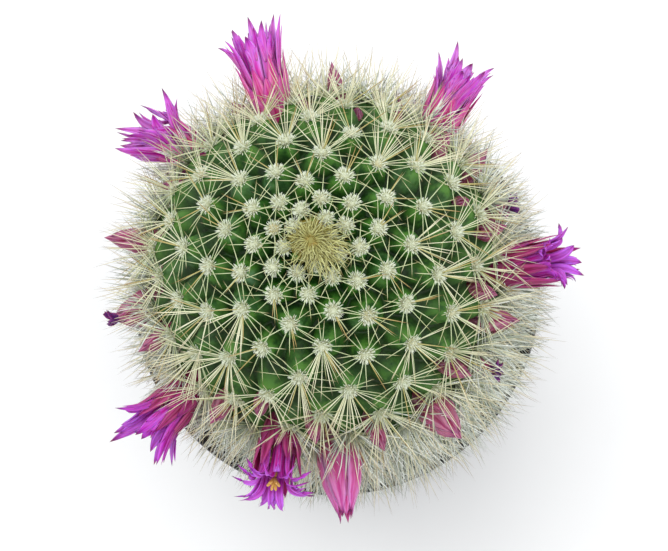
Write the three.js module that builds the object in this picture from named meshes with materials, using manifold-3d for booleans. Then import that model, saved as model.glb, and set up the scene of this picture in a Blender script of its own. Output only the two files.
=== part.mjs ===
// A round cactus in flower, in a plastic nursery pot. Millimetres, +Z up.
// The origin is the middle of the pot's underside, where the pot stands on the ground.
// The stem is a ball of tubercles set in two families of spirals. A ring of flowers and buds
// stands in the axils between the tubercles, a little above the stem's widest part.

import * as THREE from 'three';
import { mergeVertices } from 'three/addons/utils/BufferGeometryUtils.js';
import { ConvexHull } from 'three/addons/math/ConvexHull.js';
import Module from 'manifold-3d';

const wasm = await Module();
wasm.setup();

// ---------------------------------------------------------------- driving dimensions

const GAP = 0.3;                 // clearance between neighbouring solids

// pot
const POT_HEIGHT = 72;
const POT_RIM_R = 42.5;
const POT_BASE_R = 29;
const COLLAR_Z = 59;             // where the collar below the rim begins
const COLLAR_STEP = 1.5;         // how far the collar stands out from the wall
const LIP_STEP = 0.7;            // how far the lip stands out from the collar
const LIP_HEIGHT = 2;
const POT_WALL = 1.3;
const POT_FLOOR = 1.6;
const POT_SIDES = 32;
const DRAIN_HOLES = 6;
const DRAIN_R = 3.2;
const DRAIN_RING_R = 26.6;       // so that each hole also opens the foot of the wall

// soil
const SOIL_Z = 63;               // its surface, below the rim
const SOIL_MOUND = 1.2;          // rise of the surface towards the stem

// stem: areoles lie on a half ball above the equator and on half an ellipsoid below it
const STEM_R = 36;
const EQUATOR_Z = 100;
const LOWER_SEMI_AXIS = 62;
const FOOT_Z = 51;               // underside of the stem, inside the soil
const FOOT_R = 20;
const FOOT_SIDES = 16;

// areoles: numbered from the youngest, in the crown, to the oldest, at the soil
const AREOLES = 178;
const DIVERGENCE = 137.53;       // degrees from one areole to the next
const FIRST_AZIMUTH = 258.44;
const SHOULDER = 76;             // from this areole on, the steps down the stem are even
const PARASTICHIES = [21, 34];   // an areole's upper neighbours are this many numbers younger

// tubercles
const CROWN_RELIEF = 1.6;        // depth of the valleys between tubercles, at the crown
const FLANK_RELIEF = 5.6;        // and on the flanks
const AREOLE_R = 1.35;
const AREOLE_SWELL = 0.45;       // height of the woolly pad over its rim

// spines
const SPINE_ROOT_R = 0.25;
const SPINE_SINK = 0.7;
const CROWN_SPINE = 5;
const FLANK_SPINE = 10.5;
const SPINE_TILTS = [30, 60, 38, 62];   // degrees from the areole's axis, one for each spine
const SPINE_LEANS = [0, 14, -16, 26];   // how much further a spine may lean to clear a flower

// crown tuft
const TUFT_R = 4.6;
const TUFT_HEIGHT = 2.4;
const TUFT_SPINES = 14;
const TUFT_SIDES = 10;

// flowers: each stands in the axil above the areole "host". rise is its angle above level,
// swing turns it from straight outwards (counter-clockwise from above), and spread is the
// radius of the circle through its petal tips. droop bends the petal tips to the ground.
const FLOWERS = [
  { name: 'flower_1', host: 101, rise: 15, swing: -2, length: 21.5, spread: 6.8, droop: 0 },
  { name: 'flower_2', host: 132, rise: 15, swing: 8, length: 23.2, spread: 6.4, droop: 0 },
  { name: 'flower_3', host: 130, rise: 20, swing: 13, length: 20.2, spread: 6.6, droop: 0 },
  { name: 'flower_4', host: 129, rise: 20, swing: 6, length: 22.6, spread: 6.6, droop: 0 },
  { name: 'flower_5', host: 128, rise: 10, swing: 3, length: 23.5, spread: 7.6, droop: 2 },
  { name: 'flower_6', host: 123, rise: 30, swing: 13, length: 22.5, spread: 6.8, droop: 0 },
];
const OPENING = { name: 'flower_7', host: 131, rise: 15, swing: 3, length: 23, width: 9 };
const PETALS = 7;                // in each of the two whorls
const PETAL_THICK = 0.65;
const PETAL_WIDTH = 3;
const FLOWER_SIDES = 8;
const THROAT_R = 3.9;            // outer radius of the flower tube at its mouth
const CUP_R = 2.3;               // inner radius there
const CUP_DEPTH = 3.2;
const STYLE_R = 0.5;
const STIGMA_LOBES = 5;

// buds: [host, rise, swing, length, width]
const SLIM_BUD = 4.5;            // a bud up to this width has two ridges fewer
const BUDS = [
  [125, 15, 10, 16, 5.2],
  [133, 15, 11, 16.5, 7.4],
  [120, 25, 15, 14.3, 4],
  [115, 30, 10, 13.5, 4.2],
  [110, 40, 14, 13.5, 3.2],
  [118, 30, 9, 14.5, 3.8],
  [126, 20, 6, 18, 7],
  [113, 30, 15, 12.5, 3.6],
  [134, 20, 8, 12.6, 4.8],
  [121, 20, 17, 14.3, 4.8],
  [137, 20, 2, 12.4, 5.4],
  [124, 20, 16, 13.4, 4],
  [111, 30, 10, 10.3, 3.2],
  [119, 25, 13, 10.7, 3.2],
  [127, 15, 15, 14.6, 3.6],
  [122, 25, 12, 11.3, 4.2],
  [114, 35, 13, 8.4, 2.8],
  [117, 25, 22, 10.3, 3.4],
  [112, 35, 25, 8.7, 3],
  [103, 45, -9, 7.1, 2.8],
  [102, 40, 21, 10.7, 3],
  [106, 45, 12, 6.5, 2.6],
  [116, 30, 1, 11.2, 3.6],
  [108, 40, -12, 12, 3.4],
];

// ---------------------------------------------------------------- finishes

const finish = (color, roughness) => new THREE.MeshStandardMaterial({ color, roughness, metalness: 0 });
const FINISH = {
  pot: finish(0x1c1c1e, 0.5),
  soil: finish(0x3f3026, 0.95),
  stem: finish(0x5d7a4a, 0.55),
  tuft: finish(0xc9b98a, 0.8),
  petal: finish(0xb85fae, 0.5),
  bud: finish(0xa3596f, 0.55),
  stigma: finish(0xd9b23c, 0.6),
};

// ---------------------------------------------------------------- helpers

// seeded random numbers from 0 to 1
function randomFrom(seed) {
  let state = seed;
  return () => {
    state = (state + 0x6d2b79f5) | 0;
    let t = Math.imul(state ^ (state >>> 15), 1 | state);
    t = (t + Math.imul(t ^ (t >>> 7), 61 | t)) ^ t;
    return ((t ^ (t >>> 14)) >>> 0) / 4294967296;
  };
}

const rad = THREE.MathUtils.degToRad;
const mix = THREE.MathUtils.lerp;
const polar = (radius, angle, z) => new THREE.Vector3(radius * Math.cos(angle), radius * Math.sin(angle), z);

// a solid from a closed mesh, without the zero-area triangles at a turned shape's poles
function solid(geometry) {
  const bare = geometry.clone();
  bare.deleteAttribute('normal');
  bare.deleteAttribute('uv');
  const merged = mergeVertices(bare, 1e-4);
  const index = merged.index.array;
  const triangles = [];
  for (let i = 0; i < index.length; i += 3) {
    const [a, b, c] = index.slice(i, i + 3);
    if (a !== b && b !== c && c !== a) triangles.push(a, b, c);
  }
  return new wasm.Manifold(new wasm.Mesh({
    numProp: 3,
    vertProperties: new Float32Array(merged.attributes.position.array),
    triVerts: new Uint32Array(triangles),
  }));
}

// a mesh of a solid's largest body
function geometryOf(shape) {
  const bodies = shape.decompose();
  const largest = bodies.reduce((best, body) => (body.volume() > best.volume() ? body : best));
  const { vertProperties, triVerts, numProp } = largest.getMesh();
  const geometry = new THREE.BufferGeometry();
  const positions = [];
  for (let i = 0; i < vertProperties.length; i += numProp) {
    positions.push(vertProperties[i], vertProperties[i + 1], vertProperties[i + 2]);
  }
  geometry.setAttribute('position', new THREE.Float32BufferAttribute(positions, 3));
  geometry.setIndex([...triVerts]);
  geometry.computeVertexNormals();
  return geometry;
}

// a mesh from points and triangles of their numbers
function meshFrom(points, triangles) {
  const geometry = new THREE.BufferGeometry().setFromPoints(points);
  geometry.setIndex(triangles.flat());
  return geometry;
}

// a shape turned about +Z from [radius, height] pairs, listed so that the material lies
// inside the outline when it runs up the outside and down the inside
function turned(outline, sides) {
  const points = outline.map(([r, z]) => new THREE.Vector2(r, z));
  return new THREE.LatheGeometry(points, sides).rotateX(Math.PI / 2);
}

// a closed spindle: a flat end on the first ring of points, then through the other rings, which
// have as many points, to the tip
function spindle(rings, tip) {
  const sides = rings[0].length;
  const triangles = [];
  for (let j = 0; j < sides; j += 1) {
    const k = (j + 1) % sides;
    if (j > 0 && k > 0) triangles.push([0, k, j]);
    for (let start = 0; start < sides * (rings.length - 1); start += sides) {
      const next = start + sides;
      triangles.push([start + j, start + k, next + k], [start + j, next + k, next + j]);
    }
    const last = sides * (rings.length - 1);
    triangles.push([last + j, last + k, last + sides]);
  }
  return meshFrom([...rings.flat(), tip], triangles);
}

function named(name, geometry, material) {
  const mesh = new THREE.Mesh(geometry, material);
  mesh.name = name;
  return mesh;
}

// ---------------------------------------------------------------- pot and soil

// the pot's outside radius at a height
const WALL_SLOPE = (POT_RIM_R - LIP_STEP - COLLAR_STEP - POT_BASE_R) / POT_HEIGHT;
const wallR = (z) => POT_BASE_R + WALL_SLOPE * z;

function potGeometry() {
  const lipZ = POT_HEIGHT - LIP_HEIGHT;
  const collar = (z) => wallR(z) + COLLAR_STEP;
  const outline = [
    [0, 0],
    [POT_BASE_R - 0.8, 0],
    [wallR(0.8), 0.8],
    [wallR(COLLAR_Z), COLLAR_Z],
    [collar(COLLAR_Z + 1), COLLAR_Z + 1],
    [collar(lipZ), lipZ],
    [POT_RIM_R, lipZ + 0.3],
    [POT_RIM_R, POT_HEIGHT],
    [collar(POT_HEIGHT) - POT_WALL, POT_HEIGHT],
    [collar(COLLAR_Z + 1) - POT_WALL, COLLAR_Z + 1],
    [wallR(COLLAR_Z) - POT_WALL, COLLAR_Z],
    [wallR(POT_FLOOR) - POT_WALL, POT_FLOOR],
    [0, POT_FLOOR],
  ];
  let pot = solid(turned(outline, POT_SIDES));
  for (let i = 0; i < DRAIN_HOLES; i += 1) {
    const hole = new THREE.CylinderGeometry(DRAIN_R, DRAIN_R, 2.5 * DRAIN_R, 8).rotateX(Math.PI / 2);
    const { x, y } = polar(DRAIN_RING_R, (2 * Math.PI * i) / DRAIN_HOLES, 0);
    pot = pot.subtract(solid(hole.translate(x, y, 0)));
  }
  return geometryOf(pot);
}

// The soil fills the pot and rests on its floor. The stem's foot stands in a plain tapered hole.
function soilGeometry() {
  const side = (z) => wallR(z) - POT_WALL - GAP;
  const top = side(SOIL_Z) + COLLAR_STEP;
  const holeR = footConeR(SOIL_Z) + 1.5 * GAP;
  const outline = [
    [0, POT_FLOOR],
    [side(POT_FLOOR), POT_FLOOR],
    [side(COLLAR_Z), COLLAR_Z],
    [side(COLLAR_Z + 1) + COLLAR_STEP, COLLAR_Z + 1],
    [top, SOIL_Z - SOIL_MOUND],
    [mix(top, holeR, 0.5), SOIL_Z - SOIL_MOUND / 3],
    [holeR, SOIL_Z],
    [FOOT_R + 1.5 * GAP, FOOT_Z - GAP],
    [0, FOOT_Z - GAP],
  ];
  return turned(outline, POT_SIDES);
}

// ---------------------------------------------------------------- stem

// distance from the crown to areole k, along the stem's surface
function arcTo(k) {
  const young = (m) => STEM_R * (0.0551 + 0.00987 * m + 1.315e-4 * m ** 2 - 9.4e-7 * m ** 3);
  const evenStep = young(SHOULDER) - young(SHOULDER - 1);
  return k < SHOULDER ? young(k) : young(SHOULDER) + evenStep * (k - SHOULDER);
}

// point, outward normal and downhill direction of the surface at an arc from the crown
function surfaceAt(arc, azimuth, depth = 0) {
  const quarter = (STEM_R * Math.PI) / 2;
  const angle = rad(azimuth);
  let radius;
  let z;
  let normal;
  if (arc < quarter) {
    const polarAngle = arc / STEM_R;
    radius = STEM_R * Math.sin(polarAngle);
    z = EQUATOR_Z + STEM_R * Math.cos(polarAngle);
    normal = polar(Math.sin(polarAngle), angle, Math.cos(polarAngle));
  } else {
    const below = arc - quarter;
    radius = STEM_R * Math.sqrt(1 - (below / LOWER_SEMI_AXIS) ** 2);
    z = EQUATOR_Z - below;
    normal = polar(radius / STEM_R ** 2, angle, -below / LOWER_SEMI_AXIS ** 2).normalize();
  }
  const point = polar(radius, angle, z).addScaledVector(normal, -depth);
  const side = polar(1, angle + Math.PI / 2, 0);
  return { point, normal, side, down: side.clone().cross(normal).normalize() };
}

const azimuthOf = (k) => FIRST_AZIMUTH + DIVERGENCE * k;
const maturity = (k) => Math.min(1, k / SHOULDER);

const areoles = [];
for (let k = 0; k < AREOLES; k += 1) {
  const grown = maturity(k);
  areoles.push({
    ...surfaceAt(arcTo(k), azimuthOf(k)),
    relief: mix(CROWN_RELIEF, FLANK_RELIEF, Math.sqrt(grown)),
    radius: AREOLE_R * mix(0.5, 1, Math.min(1, 2 * grown)),
  });
}

// radius of the cone that the stem's foot tapers along, inside the soil
const lowest = areoles[AREOLES - 1].point;
const footConeR = (z) => mix(FOOT_R, Math.hypot(lowest.x, lowest.y), (z - FOOT_Z) / (lowest.z - FOOT_Z));

// The areoles and the foot's rim are the corners of a convex net of triangles.
const foot = Array.from({ length: FOOT_SIDES }, (_, i) => polar(FOOT_R, (2 * Math.PI * i) / FOOT_SIDES, FOOT_Z));
const corners = [...areoles.map((areole) => areole.point), ...foot];
const net = new ConvexHull().setFromPoints(corners);
const cornersOf = (face) =>
  [face.edge, face.edge.next, face.edge.prev].map((edge) => corners.indexOf(edge.head().point));

// The tubercled stem. Each triangle of the net gets a valley point below its middle, and each
// areole a small pad, so that a tubercle is a cone from the ring of valley points round it up
// to its pad. grow makes a thicker stem, which is what the flowers' feet are cut with.
function stemGeometry(grow = 0) {
  const points = corners.map((corner, i) =>
    (i < AREOLES ? corner.clone().addScaledVector(areoles[i].normal, AREOLE_SWELL + grow) : corner.clone()));
  const valleyOf = new Map();
  for (const face of net.faces) {
    const ring = cornersOf(face);
    const middle = new THREE.Vector3();
    ring.forEach((i) => middle.addScaledVector(corners[i], 1 / 3));
    if (ring.every((i) => i < AREOLES)) {
      const relief = ring.reduce((sum, i) => sum + areoles[i].relief / 3, 0);
      middle.addScaledVector(face.normal, grow - relief);
    } else {
      middle.addScaledVector(face.normal, grow);
    }
    valleyOf.set(face, points.push(middle) - 1);
  }

  // the pad's rim point of areole i that faces a valley
  const rims = new Map();
  const rim = (i, valley) => {
    const key = `${i} ${valley}`;
    if (!rims.has(key)) {
      const { point, normal, radius } = areoles[i];
      const outward = points[valley].clone().sub(point).projectOnPlane(normal).normalize();
      rims.set(key, points.push(point.clone().addScaledVector(outward, radius + 0.6 * grow)
        .addScaledVector(normal, grow)) - 1);
    }
    return rims.get(key);
  };

  const triangles = [];
  for (const face of net.faces) {
    let edge = face.edge;
    do {
      // the side of corner i that lies between this face's valley and the next face's
      const i = corners.indexOf(edge.head().point);
      const left = valleyOf.get(face);
      const right = valleyOf.get(edge.twin.face);
      if (i < AREOLES) {
        const a = rim(i, left);
        const b = rim(i, right);
        triangles.push([i, a, b], [a, left, right], [a, right, b]);
      } else {
        triangles.push([i, left, right]);
      }
      edge = edge.next;
    } while (edge !== face.edge);
  }
  return meshFrom(points, triangles);
}

// ---------------------------------------------------------------- spines

// a three-sided needle from just below its root to its tip
function needle(root, direction, length, rootR = SPINE_ROOT_R, sink = SPINE_SINK) {
  const across = new THREE.Vector3(0.3, 0.5, 0.8).cross(direction).normalize();
  const other = direction.clone().cross(across);
  const base = root.clone().addScaledVector(direction, -sink);
  const ring = [0, 1, 2].map((i) => {
    const angle = (2 * Math.PI * i) / 3;
    return base.clone().addScaledVector(across, rootR * Math.cos(angle))
      .addScaledVector(other, rootR * Math.sin(angle));
  });
  return solid(spindle([ring], root.clone().addScaledVector(direction, length)));
}

// whether a solid keeps its gap to every one of the others
const clearOf = (shape, others) => others.every((other) => shape.minGap(other, 1.5 * GAP) > GAP);

// the angles round areole k's axis at which its neighbours lie, in order
function bearingsOf(k) {
  const { point, normal, side, down } = areoles[k];
  const near = new Set(net.faces.map(cornersOf).filter((ring) => ring.includes(k)).flat());
  near.delete(k);
  return [...near].map((i) => {
    const away = corners[i].clone().sub(point).projectOnPlane(normal);
    return Math.atan2(away.dot(down), away.dot(side));
  }).sort((a, b) => a - b);
}

// The spines of one areole, spread round its axis, each rooted in the middle of a facet of its
// pad. A spine that would touch a flower, the pot or the soil leans further over or back, and
// is left out if that doesn't clear it.
function spinesOf(k, random, others) {
  const { point, normal, side, down, radius } = areoles[k];
  const bearings = bearingsOf(k);
  const first = Math.floor(bearings.length * random());
  const spines = [];
  SPINE_TILTS.forEach((tilt, i) => {
    const facet = first + Math.floor((i * bearings.length) / SPINE_TILTS.length);
    const length = mix(CROWN_SPINE, FLANK_SPINE, maturity(k)) * mix(0.88, 1.06, random());
    const outwards = (turn) => side.clone().multiplyScalar(Math.cos(turn)).addScaledVector(down, Math.sin(turn));
    const bearing = bearings[facet % bearings.length];
    const around = outwards(bearing + 0.4 * (random() - 0.5));
    const root = point.clone().addScaledVector(outwards(bearing), 0.55 * radius)
      .addScaledVector(normal, 0.4 * AREOLE_SWELL);
    for (const lean of SPINE_LEANS) {
      const angle = rad(tilt + lean);
      const direction = normal.clone().multiplyScalar(Math.cos(angle)).addScaledVector(around, Math.sin(angle));
      const spine = needle(root, direction, length);
      if (clearOf(spine, others)) {
        spines.push(spine);
        return;
      }
    }
  });
  return spines;
}

// ---------------------------------------------------------------- crown tuft

// a low woolly dome on the crown, with young spines that lean in over its middle
function tuftGeometry(stem) {
  const random = randomFrom(5);
  const crownZ = EQUATOR_Z + STEM_R;
  const outline = [
    [0, crownZ - 2], [TUFT_R, crownZ - 2], [TUFT_R, crownZ], [0.6 * TUFT_R, crownZ + 0.8], [0, crownZ + 1],
  ];
  const parts = [solid(turned(outline, TUFT_SIDES))];
  for (let i = 0; i < TUFT_SPINES; i += 1) {
    const turn = (2 * Math.PI * i) / TUFT_SPINES;
    const radius = TUFT_R * (i % 2 ? 0.45 : 0.85);
    const root = polar(radius, turn, crownZ + 0.4);
    const aim = polar(0.25 * radius, turn + 0.8 * (random() - 0.5), crownZ + TUFT_HEIGHT + random());
    const length = root.distanceTo(aim);
    parts.push(needle(root, aim.sub(root).normalize(), length));
  }
  return geometryOf(wasm.Manifold.union(parts).subtract(stem));
}

// ---------------------------------------------------------------- flowers and buds

// the frame of a flower or bud: its foot deep in the axil above its host, its axis along +Z
function seat(host, rise, swing) {
  const group = new THREE.Group();
  const around = [host, ...PARASTICHIES.map((step) => host - step)];
  const foot = new THREE.Vector3();
  around.forEach((k) => foot.addScaledVector(surfaceAt(arcTo(k), azimuthOf(k), FLANK_RELIEF).point, 1 / 3));
  group.position.copy(foot);
  const bearing = Math.atan2(foot.y, foot.x) + rad(swing);
  const axis = polar(Math.cos(rad(rise)), bearing, Math.sin(rad(rise)));
  const side = polar(1, bearing + Math.PI / 2, 0);
  group.matrix.makeBasis(side, axis.clone().cross(side), axis);
  group.quaternion.setFromRotationMatrix(group.matrix);
  group.updateMatrixWorld();
  return group;
}

// a lanceolate petal with a diamond section, from inside the tube's wall to its tip
function petal(turn, reach, rootR, rootZ, tipR, tipZ, droop) {
  const at = (r, z, w, t) => [[r + t / 2, 0], [r, w / 2], [r - t / 2, 0], [r, -w / 2]].map(([u, v]) =>
    new THREE.Vector3(u * Math.cos(turn) - v * Math.sin(turn), u * Math.sin(turn) + v * Math.cos(turn), z));
  const midR = mix(rootR, tipR, 0.42);
  const midZ = mix(rootZ, tipZ, reach);
  const tip = at(tipR, tipZ, 0, 0)[0];
  tip.y -= droop;
  const root = at(rootR, rootZ, 0.7 * PETAL_WIDTH, PETAL_THICK);
  return solid(spindle([root, at(midR, midZ, PETAL_WIDTH, PETAL_THICK)], tip));
}

// an open flower: a fluted tube that ends in a cup, and two whorls of petals
function flowerGeometry({ length, spread, droop }, stem) {
  const mouth = 0.55 * length;
  const outline = [
    [0, 0], [1.7, 0], [2.5, 0.35 * mouth], [THROAT_R, mouth], [CUP_R, mouth],
    [0.7 * CUP_R, mouth - CUP_DEPTH], [0, mouth - CUP_DEPTH],
  ];
  const parts = [solid(turned(outline, FLOWER_SIDES))];
  for (let i = 0; i < PETALS; i += 1) {
    const turn = (2 * Math.PI * i) / PETALS;
    const half = Math.PI / PETALS;
    parts.push(petal(turn, 0.55, THROAT_R - 0.6, mouth - 1, spread, 0.93 * length, droop));
    parts.push(petal(turn + half, 0.6, CUP_R + 0.4, mouth - 1, 0.6 * spread, length, droop));
  }
  return geometryOf(wasm.Manifold.union(parts).subtract(stem));
}

// the style with its ring of stigma lobes, standing on the floor of the flower's cup
function stigmaGeometry({ length }) {
  const foot = 0.55 * length - CUP_DEPTH;
  const top = 0.82 * length;
  const style = [[0, foot], [STYLE_R, foot], [STYLE_R, top], [0, top]];
  const parts = [solid(turned(style, STIGMA_LOBES))];
  for (let i = 0; i < STIGMA_LOBES; i += 1) {
    const lobe = polar(0.8, (2 * Math.PI * (i + 0.5)) / STIGMA_LOBES, 1).normalize();
    parts.push(needle(new THREE.Vector3(0, 0, top - 0.5), lobe, 2.2, 0.35, 0));
  }
  return geometryOf(wasm.Manifold.union(parts));
}

// a closed bud: a pointed spindle with one ridge for each outer sepal
function budGeometry({ length, width }, stem) {
  const sides = width > SLIM_BUD ? FLOWER_SIDES : FLOWER_SIDES - 2;
  const stations = [[0, 0.5], [0.25, 0.72], [0.55, 1], [0.8, 0.6]];
  const rings = stations.map(([along, share], ring) => Array.from({ length: sides }, (_, i) => {
    const ridge = i % 2 ? 0.86 : 1;
    return polar((width / 2) * share * ridge, (2 * Math.PI * (i + ring / 4)) / sides, along * length);
  }));
  return geometryOf(solid(spindle(rings, new THREE.Vector3(0, 0, length))).subtract(stem));
}

// the bud that is just opening: a bud with its outer tips turned back
function openingGeometry(bud, stem) {
  const parts = [solid(budGeometry(bud, stem))];
  for (let i = 0; i < 5; i += 1) {
    const turn = (2 * Math.PI * i) / 5;
    parts.push(petal(turn, 0.5, 0.3 * bud.width, 0.66 * bud.length, 0.46 * bud.width, 0.98 * bud.length, 0));
  }
  return geometryOf(wasm.Manifold.union(parts));
}

// ---------------------------------------------------------------- assembly

const group = new THREE.Group();
group.name = 'potted_cactus';

const pot = named('pot', potGeometry(), FINISH.pot);
const soil = named('soil', soilGeometry(), FINISH.soil);
group.add(pot, soil);

// What stands on the stem is cut with a thicker stem, in the flower's own frame.
const fatStem = stemGeometry(1.6 * GAP);
const others = [solid(pot.geometry), solid(soil.geometry)];

function place(name, { host, rise, swing }, make, material) {
  const holder = seat(host, rise, swing);
  const cutter = solid(fatStem.clone().applyMatrix4(holder.matrixWorld.clone().invert()));
  const mesh = named(name, make(cutter), material);
  holder.add(mesh);
  group.add(holder);
  others.push(solid(mesh.geometry.clone().applyMatrix4(holder.matrixWorld)));
  return holder;
}

FLOWERS.forEach((flower, i) => {
  const holder = place(flower.name, flower, (stem) => flowerGeometry(flower, stem), FINISH.petal);
  holder.add(named(`stigma_${i + 1}`, stigmaGeometry(flower), FINISH.stigma));
});
place(OPENING.name, OPENING, (stem) => openingGeometry(OPENING, stem), FINISH.bud);
BUDS.forEach(([host, rise, swing, length, width], i) => {
  const name = `bud_${String(i + 1).padStart(2, '0')}`;
  place(name, { host, rise, swing }, (stem) => budGeometry({ length, width }, stem), FINISH.bud);
});

const tuft = named('crown_spines', tuftGeometry(solid(fatStem)), FINISH.tuft);
others.push(solid(tuft.geometry));
group.add(tuft);

const random = randomFrom(2944);
const grown = [solid(stemGeometry())];
for (let k = 8; k < AREOLES; k += 1) grown.push(...spinesOf(k, random, others));
group.add(named('cactus', geometryOf(wasm.Manifold.union(grown)), FINISH.stem));

export default group;
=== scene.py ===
import math

import bmesh
import bpy
import numpy as np
from mathutils import Matrix, Vector


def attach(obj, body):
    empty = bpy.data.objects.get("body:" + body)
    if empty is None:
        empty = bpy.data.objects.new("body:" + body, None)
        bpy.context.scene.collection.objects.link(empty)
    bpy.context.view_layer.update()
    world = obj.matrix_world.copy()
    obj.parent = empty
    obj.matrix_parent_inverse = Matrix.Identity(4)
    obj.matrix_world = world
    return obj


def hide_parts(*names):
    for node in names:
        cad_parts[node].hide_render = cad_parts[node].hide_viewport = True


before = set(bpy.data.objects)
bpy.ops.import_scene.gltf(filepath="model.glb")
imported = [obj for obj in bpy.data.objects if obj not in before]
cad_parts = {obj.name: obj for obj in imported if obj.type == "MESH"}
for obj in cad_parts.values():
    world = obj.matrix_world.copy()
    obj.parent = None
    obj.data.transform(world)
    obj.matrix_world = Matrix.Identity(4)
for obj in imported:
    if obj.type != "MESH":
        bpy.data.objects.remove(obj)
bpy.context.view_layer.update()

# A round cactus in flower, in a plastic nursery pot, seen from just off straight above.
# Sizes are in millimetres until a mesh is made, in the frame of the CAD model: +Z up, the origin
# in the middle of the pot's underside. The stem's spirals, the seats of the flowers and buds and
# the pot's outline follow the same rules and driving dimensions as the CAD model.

MM = 0.001
FACE_SHARE = 0.48        # of the map's length, for each of the two faces of a petal
COLUMN_INSET = 0.06      # of a column's width, left free at either side
ROOT_WAVE = 0.01         # the flat root of a tube zigzags by this much along v, so it has some area

# ---------------------------------------------------------------- driving dimensions

# pot
GAP = 0.3                # room left between the pot, the soil and the stem
POT_HEIGHT = 72
POT_RIM_R = 42.5
POT_BASE_R = 29
COLLAR_Z = 59            # where the collar below the rim begins
COLLAR_STEP = 1.5        # how far the collar stands out from the wall
LIP_STEP = 0.7           # and the lip from the collar
LIP_HEIGHT = 2
POT_WALL = 1.3
POT_LIP = 3.3            # from the rim's edge to the inside of the wall, with some room
POT_FLOOR = 1.6
POT_SIDES = 160
DRAIN_HOLES = 6
DRAIN_R = 3.2
DRAIN_RING_R = 26.6

# soil
SOIL_Z = 63
SOIL_MOUND = 1.2
SOIL_BUMPS = 0.28        # of its surface, how far they spread in height
GRAINS = 900
GRAIN_HALF = (0.3, 0.95)    # half a grain's length

# stem
STEM_R = 36
EQUATOR_Z = 100
LOWER_SEMI_AXIS = 62
FOOT_Z = 51
FOOT_R = 20
FOOT_SIDES = 16
CROWN_Z = EQUATOR_Z + STEM_R

# areoles, numbered from the crown down
AREOLES = 178
DIVERGENCE = 137.53
FIRST_AZIMUTH = 258.44
SHOULDER = 76            # from this areole on, the steps down the stem are even
PARASTICHIES = (21, 34)  # an areole's upper neighbours have numbers lower by these
AREOLE_R = 1.35
AREOLE_SWELL = 0.45

# tubercles
CROWN_RELIEF = 1.6
FLANK_RELIEF = 5.6
SADDLE_RISE = 0.22       # how far the ridge between two valleys rises, as a share of the relief
CREASE_STEPS = 6         # steps along the crease between two tubercles
FLANK_RINGS = 8          # rings of points from an areole down to its creases
FLANK_ROUNDING = 1.45    # over 1, a tubercle's flank is rounded outwards

# spines: lengths at the crown, on the shoulder and on the flank
FIRST_SPINED = 6
YOUNG = 36
YOUNG_RADIALS = 9
RADIALS = 13
FIRST_CENTRAL = 24
VEIL_FIRST = SHOULDER - 20    # from here on some spines reach outwards over the blooms
FLANK_FIRST = SHOULDER - 4    # and from here on many do
RADIAL_LENGTHS = (4.4, 7.8, 9.8)
CENTRAL_LENGTHS = (4.6, 8.4, 11.4)
LENGTHS_AT = (FIRST_SPINED, 42, SHOULDER + 14)    # the areoles that have these three lengths
SPINE_R = 0.105
BRISTLE_R = 0.185        # the fine white ones, on the flank only
BLOOM_MARGIN = 0.15      # how far spines stay from the part of a bloom that they keep out of
# how much longer than usual the flank's spines are, by the side of the plant in degrees
GROWTH_SIDES = (0, 30, 60, 90, 160, 200, 250, 285, 305, 330, 350, 360)
GROWTH = (1.14, 1.06, 1.04, 1.12, 1.1, 1.04, 1.1, 1.22, 1.3, 1.3, 1.2, 1.14)
# the areoles that guard a flower: how far they lie aside of its axis, behind its foot and along it, the
# last as a share of its length
GUARD_ASIDE = 9
GUARD_BEHIND = 7
GUARD_ALONG = 0.3
# the bristles over the pot's rim: first areole, how many on each, the sides in degrees, and how far
# outside the rim's edge and above it they end
RIM_FIRST = 128
RIM_BRISTLES = 44
RIM_SIDES = (250, 40)
RIM_OUT = (0.6, 4)
RIM_UP = (0.8, 5)
GOLDEN_TURN = 2.39996    # radians
TONES = 64               # columns of the spines' colour map, one tone each

# areole wool: short thick white bristles in a ball. A piece has its name, its first areole and the one
# after its last, how many bristles stand on each, and how many sides they have.
WOOL_R = (1.95, 2.2)     # of a ball, at the crown and further out
WOOL_AT = (FIRST_SPINED, 30)    # the areoles from which on they have these two sizes
WOOL_PIECES = (
    ("areole_wool", FIRST_SPINED, 92, 92, 4),
    ("flank_wool", 92, AREOLES, 60, 3),
)

# crown tuft: a low dome, and how far its spines reach from the middle, by their side in degrees
TUFT_R = 4.6             # of the dome
TUFT_SIDES = (0, 90, 180, 270, 315, 360)
TUFT_REACH = (8.8, 5.2, 6.6, 9.4, 11.2, 8.8)
TUFT_SPINES = 320
TUFT_SPINE_R = 0.1
TUFT_COMBED = 0.4        # share of its spines that are combed towards one side
TUFT_SIDE = -55          # that side, in degrees
CROWN_FALL = 0.014       # times the radius squared, how far the crown falls off from its middle

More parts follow.
